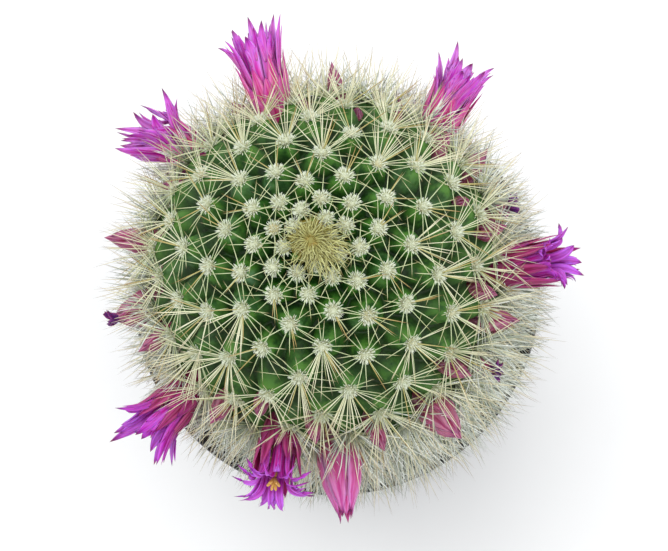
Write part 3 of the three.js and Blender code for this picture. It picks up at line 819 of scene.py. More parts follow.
def stem_piece():
    """Every areole's tubercle: a rounded cone from its pad down to the creases it shares."""
    foot_turn = 2 * np.pi * np.arange(FOOT_SIDES) / FOOT_SIDES
    corners = np.concatenate([POINT, polar(FOOT_R, foot_turn, FOOT_Z)])
    depths = np.concatenate([RELIEF, np.zeros(FOOT_SIDES)])
    normals = np.concatenate([NORMAL, polar(1.0, foot_turn, 0.0)])
    net = convex_net(corners)
    points = []
    # values go from 0 on each pad to 1 in the valleys; the skin's painted shade follows them
    values = []

    def put(point, value):
        points.append(point)
        values.append(value)
        return len(points) - 1

    valley = {}
    after = {}
    for triangle in net:
        a, b, c = (corners[i] for i in triangle)
        normal = unit(np.cross(b - a, c - a))
        on_stem = max(triangle) < AREOLES
        relief = depths[list(triangle)].mean() if on_stem else 0
        valley[triangle] = put((a + b + c) / 3 - relief * normal, 1.0)
        for first, second, third in (triangle, triangle[1:] + triangle[:1], triangle[2:] + triangle[:2]):
            after[first, second] = (third, triangle)

    creases = {}

    def crease(i, other, before, behind):
        """Points strictly between two valleys, along the crease of corners i and other."""
        if (other, i) in creases:
            return creases[other, i][::-1]
        start, end = points[valley[before]], points[valley[behind]]
        rise = SADDLE_RISE * (depths[i] + depths[other]) / 2 * unit(normals[i] + normals[other])
        shares = np.arange(1, CREASE_STEPS) / CREASE_STEPS
        creases[i, other] = [
            put(mix(start, end, share) + 4 * share * (1 - share) * rise, 1 - 0.5 * share * (1 - share))
            for share in shares
        ]
        return creases[i, other]

    triangles = []
    quads = []
    for i in range(len(corners)):
        neighbour = next(second for first, second in after if first == i)
        first_neighbour = neighbour
        rim = []
        while True:
            following, face = after[i, neighbour]
            next_face = after[i, following][1]
            rim += [valley[face], *crease(i, following, face, next_face)]
            neighbour = following
            if neighbour == first_neighbour:
                break
        count = len(rim)
        if i >= AREOLES:
            middle = put(corners[i], 1.0)
            triangles += [(middle, rim[j], rim[(j + 1) % count]) for j in range(count)]
            continue
        border = np.array([points[j] for j in rim])
        offset = border - POINT[i]
        inner = POINT[i] + PAD_R[i] * across_to(offset, NORMAL[i])
        drop = -offset @ NORMAL[i]
        before = rim
        for ring in range(FLANK_RINGS - 1, -1, -1):
            share = ring / FLANK_RINGS
            bulge = drop * (share - share ** FLANK_ROUNDING)
            places = mix(inner, border, share) + bulge[:, None] * NORMAL[i]
            here = [put(place, share) for place in places]
            for j in range(count):
                k = (j + 1) % count
                quads.append((here[j], before[j], before[k], here[k]))
            before = here
        middle = put(POINT[i] + 0.5 * AREOLE_SWELL * NORMAL[i], 0.0)
        triangles += [(middle, before[j], before[(j + 1) % count]) for j in range(count)]

    shape = Shape()
    shape.add(np.array(points), [np.array(triangles), np.array(quads)])
    shape.piece("stem", "stem", [stem_material()], ["cactus"], mapped=False, values=np.array(values))


# ---------------------------------------------------------------- blooms

class Seat:
    """Where a flower or bud stands: its foot deep in the axil above its host areole."""

    def __init__(self, host, rise, swing, length, radius):
        around = np.array([host, *(host - step for step in PARASTICHIES)])
        point, normal, _, _ = surface_at(arc_to(around), azimuth_of(around))
        self.foot = (point - FLANK_RELIEF * normal).mean(axis=0)
        bearing = math.atan2(self.foot[1], self.foot[0]) + math.radians(swing)
        lift = math.radians(rise)
        axis = polar(math.cos(lift), bearing, math.sin(lift))
        side = polar(1.0, bearing + math.pi / 2, 0.0)
        self.basis = np.stack([side, np.cross(axis, side), axis])
        self.length = length
        self.radius = radius

    def placed(self, shape):
        """Moves a shape made along +Z to the seat."""
        shape.points = [points @ self.basis + self.foot for points in shape.points]
        return shape

    def holds(self, points, margin):
        """Which of the points lie inside the bloom or closer to it than a margin."""
        local = (points - self.foot) @ self.basis.T
        reach = self.radius(local[..., 2] / self.length) + margin
        inside = np.hypot(local[..., 0], local[..., 1]) < reach
        return inside & (local[..., 2] < self.length + margin) & (local[..., 2] > 0)


def flower_reach(flower):
    """The radius of a flower that spines keep out of: most of its cup, but only the heart of its tube."""
    spread = flower["spread"]
    return lambda share: np.interp(share, [0, 0.35, MOUTH, 0.8, 1], [0.8, 1.4, 3.4, spread, spread + 0.6])


def bud_reach(width):
    """The radius of a bud that spines keep out of: its heart only."""
    return lambda share: np.interp(share, BUD_PROFILE[0], np.array(BUD_PROFILE[1]) * width / BUD_PART)


def seat_of(bloom, radius):
    return Seat(*(bloom[field] for field in ("host", "rise", "swing", "length")), radius)


flower_seats = [seat_of(flower, flower_reach(flower)) for flower in FLOWERS]
opening_seat = seat_of(OPENING, bud_reach(OPENING["width"]))
bud_seats = [seat_of(bud, bud_reach(bud["width"])) for bud in BUDS]
SEATS = [*flower_seats, opening_seat, *bud_seats]


def ring_turns(rng, count, scatter, offset=0.0):
    """Angles of blades in a whorl, each a little off its even place."""
    return 2 * np.pi * (np.arange(count) + offset + rng.uniform(-scatter, scatter, count)) / count


def petal_whorl(shape, rng, turns, bow, width, column, kind,
                fold=0.3, droop=0.0, curl=0.0, ragged=0.12, look=0.0, flare=0.0, pointed=0.0):
    """Blades round the axis. bow lists (radius, height) control points from root to tip.

    droop lowers the tips, curl winds them, ragged varies their lengths, look shortens the upper ones, so
    that the flower shows its mouth, and flare turns all of them outwards. Each blade has a tooth on
    either side of its tip; pointed narrows tip and teeth.
    """
    count = len(turns)
    bows = np.broadcast_to(np.array(bow, float), (count, 4, 2)).copy()
    bows[:, 2:, 0] *= rng.uniform(0.78, 1.15, (count, 1))
    bows[:, 3, 0] *= rng.uniform(0.85, 1.12, count)
    rise = bows[:, 3, 1] - bows[:, 0, 1]
    bows[:, 3, 1] -= rise * rng.uniform(0, 2 * ragged, count)
    bows[:, 2, 1] -= rise * rng.uniform(0, ragged, count)
    bows[:, 3] += flare * np.stack([0.3 * bows[:, 3, 0], -0.25 * rise], axis=1)
    bows[:, 2] += flare * np.stack([0.12 * bows[:, 2, 0], -0.1 * rise], axis=1)
    upper = look * rise * (1 + np.sin(turns)) / 2
    bows[:, 3, 1] -= 0.5 * upper
    bows[:, 2, 1] -= 0.3 * upper
    swing = rng.uniform(-1, 1, (count, 1)) * (0.9 + curl)
    phase = rng.uniform(0, 6, (count, 2, 1))
    winding = curl * rng.uniform(0.4, 1.1, (count, 2, 1))
    turned_back = rng.uniform(-0.3, 0.9, (count, 1))
    radial = polar(1.0, turns, 0.0)[:, None]
    sideways = polar(1.0, turns + math.pi / 2, 0.0)[:, None]

    def path(share):
        """Centre points of the blades at shares (blades, stations) of their length."""
        weights = np.stack([
            (1 - share) ** 3, 3 * share * (1 - share) ** 2, 3 * share ** 2 * (1 - share), share ** 3,
        ], axis=-1)
        track = (weights[..., None] * bows[:, None]).sum(axis=2)
        waves = winding * np.sin(6 * share[:, None] + phase) * share[:, None] ** 1.5
        centres = radial * (track[..., :1] + (waves[:, 0] + turned_back * share ** 6)[..., None])
        centres = centres + sideways * (swing * share ** 2 + waves[:, 1])[..., None]
        centres[..., 2] += track[..., 1]
        centres[..., 1] -= droop * share ** 2
        return centres

    share = np.linspace(0, 1, PETAL_STEPS)[None].repeat(count, axis=0)
    profile = mix(np.array(BLUNT), np.array(SHARP), pointed)
    shapely = np.interp(share[0, :-1], PETAL_STATIONS, profile)
    widths = width * rng.uniform(0.85, 1.12, (count, 1)) * shapely
    facing = -radial + 0.4 * rng.uniform(-1, 1, (count, 1, 1)) * sideways + np.array([0, 0, 0.2])
    folds = fold * rng.uniform(0.4, 1.5, (count, 1, 1))
    blades(shape, path(share), facing, widths, PETAL_THICK, column, kind, fold=folds)
    share = np.linspace(0, 1, TOOTH_STEPS)
    slim = 1 - 0.6 * pointed
    for way in (-1, 1):
        start = rng.uniform(0.45, 0.58, (count, 1))
        end = rng.uniform(0.78, 0.95, (count, 1))
        aside = way * width * (0.2 + rng.uniform(0.08, 0.34, (count, 1)) * share ** 2) * slim
        centres = path(mix(start, end, share)) + sideways * aside[..., None]
        shapely = np.interp(share[:-1], [0, 0.4, 0.75, 1], [0.5, 1, 0.7, 0.1])
        widths = slim * TOOTH_WIDTH * width * rng.uniform(0.8, 1.2, (count, 1)) * shapely
        blades(shape, centres, facing, widths, 0.9 * PETAL_THICK, column, kind)


def sepal_whorl(shape, turns, heights, radius_at, width, column, kind, free, lift, reach=1.0):
    """Pointed scales that lie on a tube or bud from one height to another, their tips just free."""
    count = len(turns)
    share = np.linspace(0, 1, SEPAL_STEPS)
    low, high = (np.broadcast_to(height, count)[:, None] for height in heights)
    z = mix(low, high, share)
    radius = radius_at(z) + lift + free * share ** 3
    centres = polar(radius, turns[:, None], z)
    shapely = np.interp(share[:-1], [0, 0.25, 0.55, 0.8, 0.93, 1], [0.9, 1, 0.9, 0.52, 0.22, 0.04])
    widths = np.minimum(width, 2.2 * radius[:, :-1]) * shapely
    facing = -polar(1.0, turns, 0.0)[:, None]
    wrap = 1 / np.maximum(radius[:, :-1], 0.5 * width)
    blades(shape, centres, facing, widths, PETAL_THICK, column, kind, wrap=wrap, reach=reach)


# of a flower's map: one for each blade, one for the tube and one for the stamens
FLOWER_COLUMNS = 2 * PETALS + 2 * SEPALS + 2


def stamens(shape, rng, length, kind):
    """Fine filaments round the style, each with a thicker anther."""
    mouth = MOUTH * length
    turns = rng.uniform(0, 2 * np.pi, STAMENS)
    foot = polar(rng.uniform(0.8, 1.4, STAMENS), turns, mouth - CUP_DEPTH + 0.1)
    reach = rng.uniform(1.2, 2.4, STAMENS)
    top = polar(reach, turns + rng.uniform(-0.4, 0.4, STAMENS), mouth + rng.uniform(0.8, 3.2, STAMENS))
    share = np.array([0, 0.45, 0.82, 0.88, 0.95, 1])[None, :, None]
    paths = mix(foot[:, None], top[:, None], share)
    radii = np.broadcast_to([0.09, 0.08, 0.08, 0.24, 0.2], (STAMENS, 5))
    tubes(shape, paths, radii, 4, FLOWER_COLUMNS - 1, kind)


def petal_bows(flower):
    """Control points of the outer and the inner petals: radius and height, from root to tip."""
    length, spread, late = flower["length"], flower["spread"], flower["open"]
    end = length + flower["over"]
    outer = [
        (THROAT_R - 0.5, 0.4 * length),
        (THROAT_R + mix(0.3, -0.4, late), mix(0.64, 0.9, late) * length),
        (mix(0.66 * spread, THROAT_R - 0.8, late), mix(0.86, 1.06, late) * length),
        (1.04 * spread, end),
    ]
    inner = [
        (CUP_R + 0.5, 0.44 * length),
        (CUP_R + mix(1.3, 0.2, late), mix(0.66, 0.92, late) * length),
        (mix(0.44 * spread, CUP_R - 0.2, late), mix(0.88, 1.08, late) * length),
        (mix(0.62, 0.94, late) * spread, end + mix(-0.6, 0.6, late)),
    ]
    return outer, inner


def flower_piece(flower, seat, materials):
    """A tube with an open cup, two whorls of sepals, two of petals, and the stamens."""
    rng = np.random.default_rng(100 + flower["seed"])
    length = flower["length"]
    mouth = MOUTH * length
    shape = Shape(FLOWER_COLUMNS, two_faced=True)

    outline = [[np.interp(z, [0, 0.35 * mouth, mouth], [1.7, 2.6, THROAT_R - 0.2]), z]
               for z in np.linspace(0, mouth, 12)]
    outline += [
        [THROAT_R - 0.6, mouth + 0.25],
        [CUP_R + 0.3, mouth + 0.1],
        [CUP_R, mouth - 0.6],
        [0.85 * CUP_R, mouth - 0.6 * CUP_DEPTH],
        [0.7 * CUP_R, mouth - CUP_DEPTH],
        [0, mouth - CUP_DEPTH],
    ]
    add_turned(shape, outline, 48, FLOWER_COLUMNS - 2, kind=1, flutes=SEPALS, depth=0.03)

    def funnel_r(z):
        return np.interp(z / length, [0, 0.2, 0.4, MOUTH, 0.7, 0.85], [1.7, 2.9, 3.8, 4.2, 4.4, 4.8])

    for whorl, (low, high, free, width) in enumerate(SEPAL_WHORLS):
        turns = ring_turns(rng, SEPALS, 0.16, whorl / 2)
        tips = length * flower["tube"] * high * rng.uniform(0.9, 1.04, SEPALS)
        column = 2 * PETALS + whorl * SEPALS + np.arange(SEPALS)
        sepal_whorl(shape, turns, (low * length, tips), funnel_r, width * SEPAL_WIDTH, column, 1,
                    free=free * rng.uniform(0.2, 1.1, (SEPALS, 1)), lift=0.4 - 0.2 * whorl)

    habit = {field: flower[field] for field in ("curl", "ragged", "look", "flare")}
    late = flower["open"]
    width = PETAL_WIDTH * (1 - 0.34 * late)
    for whorl, (bow, size, droop) in enumerate(zip(petal_bows(flower), (1, 0.9), (1, 0.8))):
        turns = ring_turns(rng, PETALS, 0.32, whorl / 2)
        petal_whorl(shape, rng, turns, bow, size * width, whorl * PETALS + np.arange(PETALS), 0,
                    droop=droop * flower["droop"], pointed=late, **habit)
    stamens(shape, rng, length, 2)
    seat.placed(shape)
    shape.piece(flower["name"], "petal", materials, [flower["name"]])


def stigma_piece(index, flower, seat, material):
    """The style with its ring of lobes."""
    rng = np.random.default_rng(200 + index)
    length = flower["length"]
    foot = MOUTH * length - CUP_DEPTH + 0.1
    top = flower["style"] * length
    shape = Shape(STIGMA_COLUMNS)
    share = np.linspace(0, 1, 8)
    style = polar(0.0, 0.0, mix(foot, top, share))[None]
    style_r = np.interp(share[:-1], [0, 0.7, 0.9, 1], [0.36, 0.36, STYLE_R, STYLE_R])[None]
    tubes(shape, style, style_r, 12, 0)
    turns = ring_turns(rng, STIGMA_LOBES, 0.2)
    out = np.array([0.1, 0.4, 0.75, 1.05, 1.25, 1.4])
    up = np.array([-0.7, 0.1, 0.75, 1.25, 1.6, 1.75])
    paths = polar(out, turns[:, None], top + up)
    radii = np.broadcast_to([0.3, 0.34, 0.36, 0.34, 0.26], (STIGMA_LOBES, 5))
    tubes(shape, paths, radii, 8, 1 + np.arange(STIGMA_LOBES))
    seat.placed(shape)
    shape.piece(f"stigma_{index}", "stigma", [material], [f"stigma_{index}"])


BUD_SCALES = 5           # in each of the three whorls
BUD_FULLNESS = 1.14      # a bud is built this much wider than its width in BUDS
FADED_PETALS = 6
BUD_COLUMNS = 3 * BUD_SCALES + FADED_PETALS
# Habits of buds: the spindle's profile, where it ends and its tip, its material and place on the map,
# how much the scales scatter round it and the range of their lengths. A whorl has its foot and tip, its
# width as a share of the bud's, its material, how far its tips stand off and where they end on the map.
CLOSED = dict(
    profile=BUD_PROFILE, end=0.97, tip=1, kind=0, map_end=1.0, scatter=0.12, tips=(0.96, 1.01),
    whorls=(
        (0.3, 1.0, 0.78, 0, 0.1, 1),
        (0.12, 0.93, 0.78, 0, 0.1, 0.97),
        (0.03, 0.66, 0.78, 0, 0.1, 0.84),
    ),
)
BURSTING = dict(
    profile=((0, 0.2, 0.45, 0.7, 0.9, 1), (0.5, 0.74, 1, 0.8, 0.36, 0.2)),
    end=0.9, tip=0.96, kind=1, map_end=0.7, scatter=0.1, tips=(0.97, 1.02),
    whorls=(
        (0.3, 1.03, 0.5, 1, 0.7, 1),
        (0.2, 0.99, 0.56, 1, 0.5, 1),
        (0.03, 0.5, 0.7, 0, 0.1, 0.8),
    ),
)


def bud_body(shape, rng, length, width, habit):
    """A spindle under three whorls of broad overlapping pointed scales."""
    def radius(z):
        stations, radii = habit["profile"]
        return np.interp(z / length, stations, np.array(radii) * 0.96 * width / 2)

    outline = [[0.9 * radius(z), z] for z in np.linspace(0, habit["end"] * length, 12)]
    outline += [[0, habit["tip"] * length]]
    add_turned(shape, outline, 24, BUD_COLUMNS - 1, end=habit["map_end"], kind=habit["kind"])
    for whorl, (low, high, share, kind, free, reach) in enumerate(habit["whorls"]):
        turns = ring_turns(rng, BUD_SCALES, habit["scatter"], whorl / 2)
        column = whorl * BUD_SCALES + np.arange(BUD_SCALES)
        tips = high * length * rng.uniform(*habit["tips"], BUD_SCALES)
        sepal_whorl(shape, turns, (low * length, tips), radius, share * width, column, kind,
                    free=free, lift=-0.2 + 0.14 * whorl, reach=reach)


def bud_piece(index, bud, seat, materials):
    """A closed bud, or one whose flower has withered to a small tuft."""
    rng = np.random.default_rng(300 + index)
    length = bud["length"]
    shape = Shape(BUD_COLUMNS, two_faced=True)
    bud_body(shape, rng, length, BUD_FULLNESS * bud["width"], CLOSED)
    if index in WITHERED:
        turns = rng.uniform(0, 2 * np.pi, FADED_PETALS)
        bow = [(0.4, 0.78 * length), (0.8, 0.9 * length), (1.3, 1.02 * length), (1.9, 1.08 * length)]
        column = 3 * BUD_SCALES + np.arange(FADED_PETALS)
        petal_whorl(shape, rng, turns, bow, 1.5, column, 1, fold=0.8, curl=0.8)
    seat.placed(shape)
    name = f"bud_{index:02d}"
    shape.piece(name, "bud", materials, [name])


def opening_piece(seat, materials):
    """The big bud that is just opening: long petals still closed, their tips turned back."""
    shape = Shape(BUD_COLUMNS, two_faced=True)
    length, width = 1.03 * OPENING["length"], 1.1 * OPENING["width"]
    bud_body(shape, np.random.default_rng(400), length, width, BURSTING)
    seat.placed(shape)
    shape.piece(OPENING["name"], "bud", materials, [OPENING["name"]])


def make_blooms():
    """Six open flowers with their stigmas, the opening bud, and the buds."""
    # lit and shaded copies of the petal and sepal colours: the light set is painted light for the flowers
    # on the upper side, the deep set painted shade for the others
    light, deep = (
        [petal_material(f"{part}_{shade}", FLOWER_COLUMNS) for part in ("petal", "sepal")]
        for shade in ("light", "deep")
    )
    stamen = petal_material("stamen", FLOWER_COLUMNS)
    names = ("bud_scale", "faded_petal", "fresh_petal")
    bud, faded, fresh = (petal_material(name, BUD_COLUMNS) for name in names)
    stigma = plain_noise_material("stigma", colour(196, 140, 50), colour(222, 180, 100), 2500, 0.7,
                                  bump=0.6, distance=0.15, Subsurface_Weight=0.1)
    for index, (flower, seat) in enumerate(zip(FLOWERS, flower_seats), 1):
        flower_piece(flower, seat, [*(light if index in PAINTED_LIT_FLOWERS else deep), stamen])
        stigma_piece(index, flower, seat, stigma)
    opening_piece(opening_seat, [bud, fresh])
    for index, (entry, seat) in enumerate(zip(BUDS, bud_seats), 1):
        bud_piece(index, entry, seat, [bud, faded])


# ---------------------------------------------------------------- spines

# How a spine in the way tries to lean: along the stem's normal, aside and straight up
WAYS_OUT = (
    (0.35, 0, 0), (0, 0.4, 0), (0, -0.4, 0), (0.6, 0, 0), (0, 0, 0.5), (0.3, 0.7, 0), (0.3, -0.7, 0),
    (0, 0, 1), (1.0, 0, 0), (0.2, 1, 0), (0.2, -1, 0), (0, 0, 2),
)


def clear_paths(root, direction, bend, lengths, stations):
    """Paths of spines that keep out of the blooms: a spine in the way leans aside or is left out."""
    share = np.linspace(0, 1, stations)[None, :, None]

    def drawn(heading):
        straight = root[:, None] + heading[:, None] * share * lengths[:, None, None]
        return straight + bend[:, None] * share ** 2

    def blocked(paths):
        held = [np.any(seat.holds(paths[:, 1:], BLOOM_MARGIN), axis=1) for seat in SEATS]
        in_wall = np.hypot(paths[..., 0], paths[..., 1]) > POT_RIM_R - POT_LIP
        in_pot = (paths[..., 2] < SOIL_Z + 0.5) | (in_wall & (paths[..., 2] < POT_HEIGHT + 0.4))
        return np.any(held, axis=0) | np.any(in_pot[:, 1:], axis=1)

    paths = drawn(direction)
    normal = unit(root - [0, 0, EQUATOR_Z])
    aside = np.cross(direction, normal)
    stuck = blocked(paths)
    for lift, swing, rise in WAYS_OUT:
        if not stuck.any():
            break
        tried = drawn(unit(direction + lift * normal + swing * aside + [0, 0, rise]))
        free = stuck & ~blocked(tried)
        paths[free] = tried[free]
        stuck &= ~free
    return paths[~stuck]


def spine_paths(rng, numbers, count, tilts, lengths, facing, root_share, bend_size, stations):
    """Spines spread round the axis of each areole in numbers. facing limits them to the downhill side."""
    k = np.repeat(numbers, count)
    turn = 2 * np.pi * (np.tile(np.arange(count), len(numbers)) + rng.uniform(-0.36, 0.36, len(k))) / count
    turn += np.repeat(rng.uniform(0, 2 * np.pi, len(numbers)), count)
    if facing is not None:
        turn = np.pi / 2 + facing * rng.uniform(-1, 1, len(k))
    tilt = np.radians(rng.uniform(tilts[0], tilts[1], len(k)))
    around, direction = leaning(k, turn, tilt)
    root = POINT[k] + around * (root_share * PAD_R[k])[:, None] + 0.1 * NORMAL[k]
    size = np.repeat(lengths, count) * rng.uniform(0.8, 1.12, len(k))
    aside = across_to(rng.normal(size=(len(k), 3)), direction)
    bend = aside * (bend_size * size * rng.uniform(0, 1, len(k)))[:, None]
    return clear_paths(root - 0.4 * direction, direction, bend, size + 0.4, stations)


def tapered(paths, radius, rng):
    """Radii of spines from their roots almost to their tips."""
    stations = paths.shape[1]
    share = np.linspace(0, 1, stations)[:-1]
    taper = np.interp(share, [0, 0.15, 0.6, 1], [0.9, 1, 0.8, 0.3])
    return radius * rng.uniform(0.85, 1.15, (len(paths), 1)) * taper


def over_flowers():
    """The areoles just above the flowers, whose spines close over the flowers' tubes."""
    near = np.zeros(AREOLES, bool)
    for seat in [*flower_seats, opening_seat]:
        aside, above, along = ((POINT - seat.foot) @ seat.basis.T).T
        beside = (np.abs(aside) < GUARD_ASIDE) & (above > 0)
        near |= beside & (along > -GUARD_BEHIND) & (along < GUARD_ALONG * seat.length)
    return np.nonzero(near & (NUMBERS > YOUNG))[0]


def rim_paths(rng):
    """Bristles from low on the stem that reach out over the pot's rim, on the sides of RIM_SIDES."""
    low = np.arange(RIM_FIRST, AREOLES)
    side = azimuth_of(low) % 360
    k = np.repeat(low[(side > RIM_SIDES[0]) | (side < RIM_SIDES[1])], RIM_BRISTLES)
    turn = np.radians(azimuth_of(k)) + rng.normal(0, 0.14, len(k))
    end_r = POT_RIM_R + rng.uniform(*RIM_OUT, len(k))
    end = polar(end_r, turn, POT_HEIGHT + rng.uniform(*RIM_UP, len(k)))
    root = POINT[k] + 0.8 * across_to(rng.normal(size=(len(k), 3)), NORMAL[k])
    bend = 0.6 * rng.normal(size=(len(k), 3))
    return clear_paths(root, unit(end - root), bend, np.linalg.norm(end - root, axis=1), 4)


def add_spines(shape, rng, paths, radius, sides):
    """Adds tapered spines, each with a tone of its own."""
    radii = tapered(paths, radius, rng)
    tubes(shape, paths, radii, sides, rng.integers(0, TONES, len(paths)))


def spine_sets():
    """What the pieces of spines are made of: name, colour, radius, sides, root, bend, stations and rows.

    A row gives areoles, how many spines on each, the range of their tilts from the axis in degrees, their
    lengths, and how far round from straight downhill they may point, or None for all round.
    """
    young = np.arange(FIRST_SPINED, YOUNG)
    old = np.arange(YOUNG, AREOLES)
    inner = np.arange(FIRST_CENTRAL, AREOLES)
    veil = np.arange(VEIL_FIRST, FLANK_FIRST)
    flank = np.arange(FLANK_FIRST, AREOLES)
    guards = over_flowers()
    reach = np.interp(flank, [FLANK_FIRST, SHOULDER + 24, SHOULDER + 50], [10.6, 11.8, 12.2])

    def bristles(first, last, count, tilts, shortest, longest, facing=None):
        numbers = np.arange(first, last)
        lengths = np.linspace(shortest, longest, len(numbers)) * side_growth(numbers)
        return numbers, count, tilts, lengths, facing

    return (
        ("radial_spines", "spine_ivory", SPINE_R, 5, 0.7, 0.06, 5, [
            (young, YOUNG_RADIALS, (60, 84), grown(RADIAL_LENGTHS, young), None),
            (old, RADIALS, (60, 84), grown(RADIAL_LENGTHS, old), None),
        ]),
        ("central_spines", "spine_tan", 1.15 * SPINE_R, 5, 0.35, 0.04, 5, [
            (inner, 2, (34, 66), grown(CENTRAL_LENGTHS, inner), 1.1),
        ]),
        ("outward_spines", "spine_grey", 0.95 * SPINE_R, 5, 0.5, 0.06, 5, [
            (veil, 9, (34, 78), np.linspace(8.6, 10.4, len(veil)), 1.6),
            (flank, 18, (8, 70), reach * side_growth(flank), None),
            (guards, 12, (42, 82), np.linspace(10.5, 12, len(guards)), 1.0),
        ]),
        ("fine_bristles", "spine_white", BRISTLE_R, 3, 1.1, 0.3, 4, [
            bristles(84, 104, 16, (40, 86), 6.5, 8.5, facing=1.5),
            bristles(104, AREOLES, 26, (46, 92), 8.2, 10.6),
        ]),
        ("haze_bristles", "spine_white", BRISTLE_R, 3, 1.1, 0.3, 4, [
            bristles(96, 176, 14, (24, 86), 9, 11.4),
            bristles(96, 174, 18, (2, 56), 8.8, 11.8),
        ]),
    )


def make_spines():
    """The spines and bristles of the stem, a piece for each kind."""
    rng = np.random.default_rng(2944)
    materials = {name: spine_material(name) for name in SPINE_COLOURS}
    for name, look, radius, sides, root, bend, stations, rows in spine_sets():
        shape = Shape(TONES)
        for row in rows:
            add_spines(shape, rng, spine_paths(rng, *row, root, bend, stations), radius, sides)
        shape.piece(name, "spine", [materials[look]], ["cactus"])
    skirt = Shape(TONES)
    add_spines(skirt, rng, rim_paths(rng), BRISTLE_R, 3)
    skirt.piece("rim_bristles", "spine", [materials["spine_white"]], ["cactus"])
    make_tuft(materials["spine_straw"])


def make_wool():
    """On each areole, a small dome under a ball of short thick bristles."""
    rng = np.random.default_rng(77)
    size_of = np.interp(NUMBERS, WOOL_AT, WOOL_R)
    wool = wool_material()
    dome, tip = turned([[1.0, -0.3], [1.0, 0.0], [0.82, 0.16], [0.5, 0.28], [0, 0.34]], 14)
    for name, first, last, count, sides in WOOL_PIECES:
        shape = Shape(TONES)
        numbers = np.arange(first, last)
        k = np.repeat(numbers, count)
        order = np.tile(np.arange(count), len(numbers)) + 0.5
        out = np.sqrt(order / count)
        turn = GOLDEN_TURN * order + np.repeat(rng.uniform(0, 6, len(numbers)), count)
        tilt = np.radians(4 + 64 * out + rng.uniform(-20, 20, len(k)))
        around, direction = leaning(k, turn, tilt)
        ball = size_of[k][:, None]
        root = POINT[k] + around * 0.58 * out[:, None] * ball - 0.1 * NORMAL[k]
        direction = unit(direction + rng.normal(0, 0.2, direction.shape))
        reach = (1.0 - 0.5 * out)[:, None] * ball * rng.uniform(0.75, 1.2, (len(k), 1))
        share = np.array([0, 0.4, 0.75, 1])[None, :, None]
        paths = root[:, None] + direction[:, None] * share * reach[:, None]
        radii = np.array([0.1, 0.13, 0.08]) * rng.uniform(0.75, 1.25, (len(k), 1)) * ball / WOOL_R[1]
        tubes(shape, paths, radii, sides, rng.integers(0, TONES, len(k)))
        for number in numbers:
            basis = np.stack([SIDE[number], DOWN[number], NORMAL[number]])
            size = np.array([0.62, 0.62, 1]) * size_of[number]
            points, faces = stitched(*(part * size @ basis + POINT[number] for part in (dome, tip)))
            places = mapped(1, np.linspace(0, 0.4, 5), ring_places(14), int(number) % TONES, TONES)
            shape.add(points, [part[:, ::-1] for part in faces], places)
        shape.piece(name, "spine", [wool], ["cactus"])


def make_tuft(material):
    """The crown: a low dome, and young spines that arch from near its middle outwards over it."""
    rng = np.random.default_rng(5)
    count = TUFT_SPINES
    shape = Shape(TONES)
    outline = [
        [TUFT_R, CROWN_Z - 2],
        [TUFT_R, CROWN_Z - 0.6],
        [0.8 * TUFT_R, CROWN_Z + 0.1],
        [0.5 * TUFT_R, CROWN_Z + 0.5],
        [0.2 * TUFT_R, CROWN_Z + 0.7],
        [0, CROWN_Z + 0.8],
    ]
    add_turned(shape, outline, 40, 3, end=0.3)
    turn = rng.uniform(0, 2 * np.pi, count)
    combed = rng.uniform(0, 1, count) < TUFT_COMBED
    turn = np.where(combed, np.radians(TUFT_SIDE) + rng.normal(0, 0.6, count), turn) % (2 * np.pi)
    reach = np.interp(np.degrees(turn), TUFT_SIDES, TUFT_REACH) * rng.uniform(0.35, 1.08, count)
    foot_r = reach * rng.uniform(0, 0.45, count)
    foot = polar(foot_r, turn + rng.normal(0, 0.9, count), CROWN_Z + 0.2 - CROWN_FALL * foot_r ** 2)
    end = polar(reach, turn, CROWN_Z + rng.uniform(0.9, 2.8, count) - CROWN_FALL * reach ** 2)
    rise = np.array([0, 0, 1.0]) * rng.uniform(0.4, 1.6, (count, 1))
    knee = mix(foot, end, 0.5) + polar(rng.normal(0.08, 0.13, count) * reach, turn + np.pi / 2, 0.0) + rise
    share = np.linspace(0, 1, 8)[None, :, None]
    bow = 2 * knee[:, None] * share * (1 - share)
    paths = foot[:, None] * (1 - share) ** 2 + bow + end[:, None] * share ** 2
    add_spines(shape, rng, paths, TUFT_SPINE_R, 5)
    shape.piece("crown_spines", "spine", [material], ["crown_spines"])


# ---------------------------------------------------------------- pot and soil

WALL_SLOPE = (POT_RIM_R - LIP_STEP - COLLAR_STEP - POT_BASE_R) / POT_HEIGHT


def wall_r(z):
    """Outer radius of the wall below the collar, carried on upwards."""
    return POT_BASE_R + WALL_SLOPE * z


def collar_r(z):
    return wall_r(z) + COLLAR_STEP


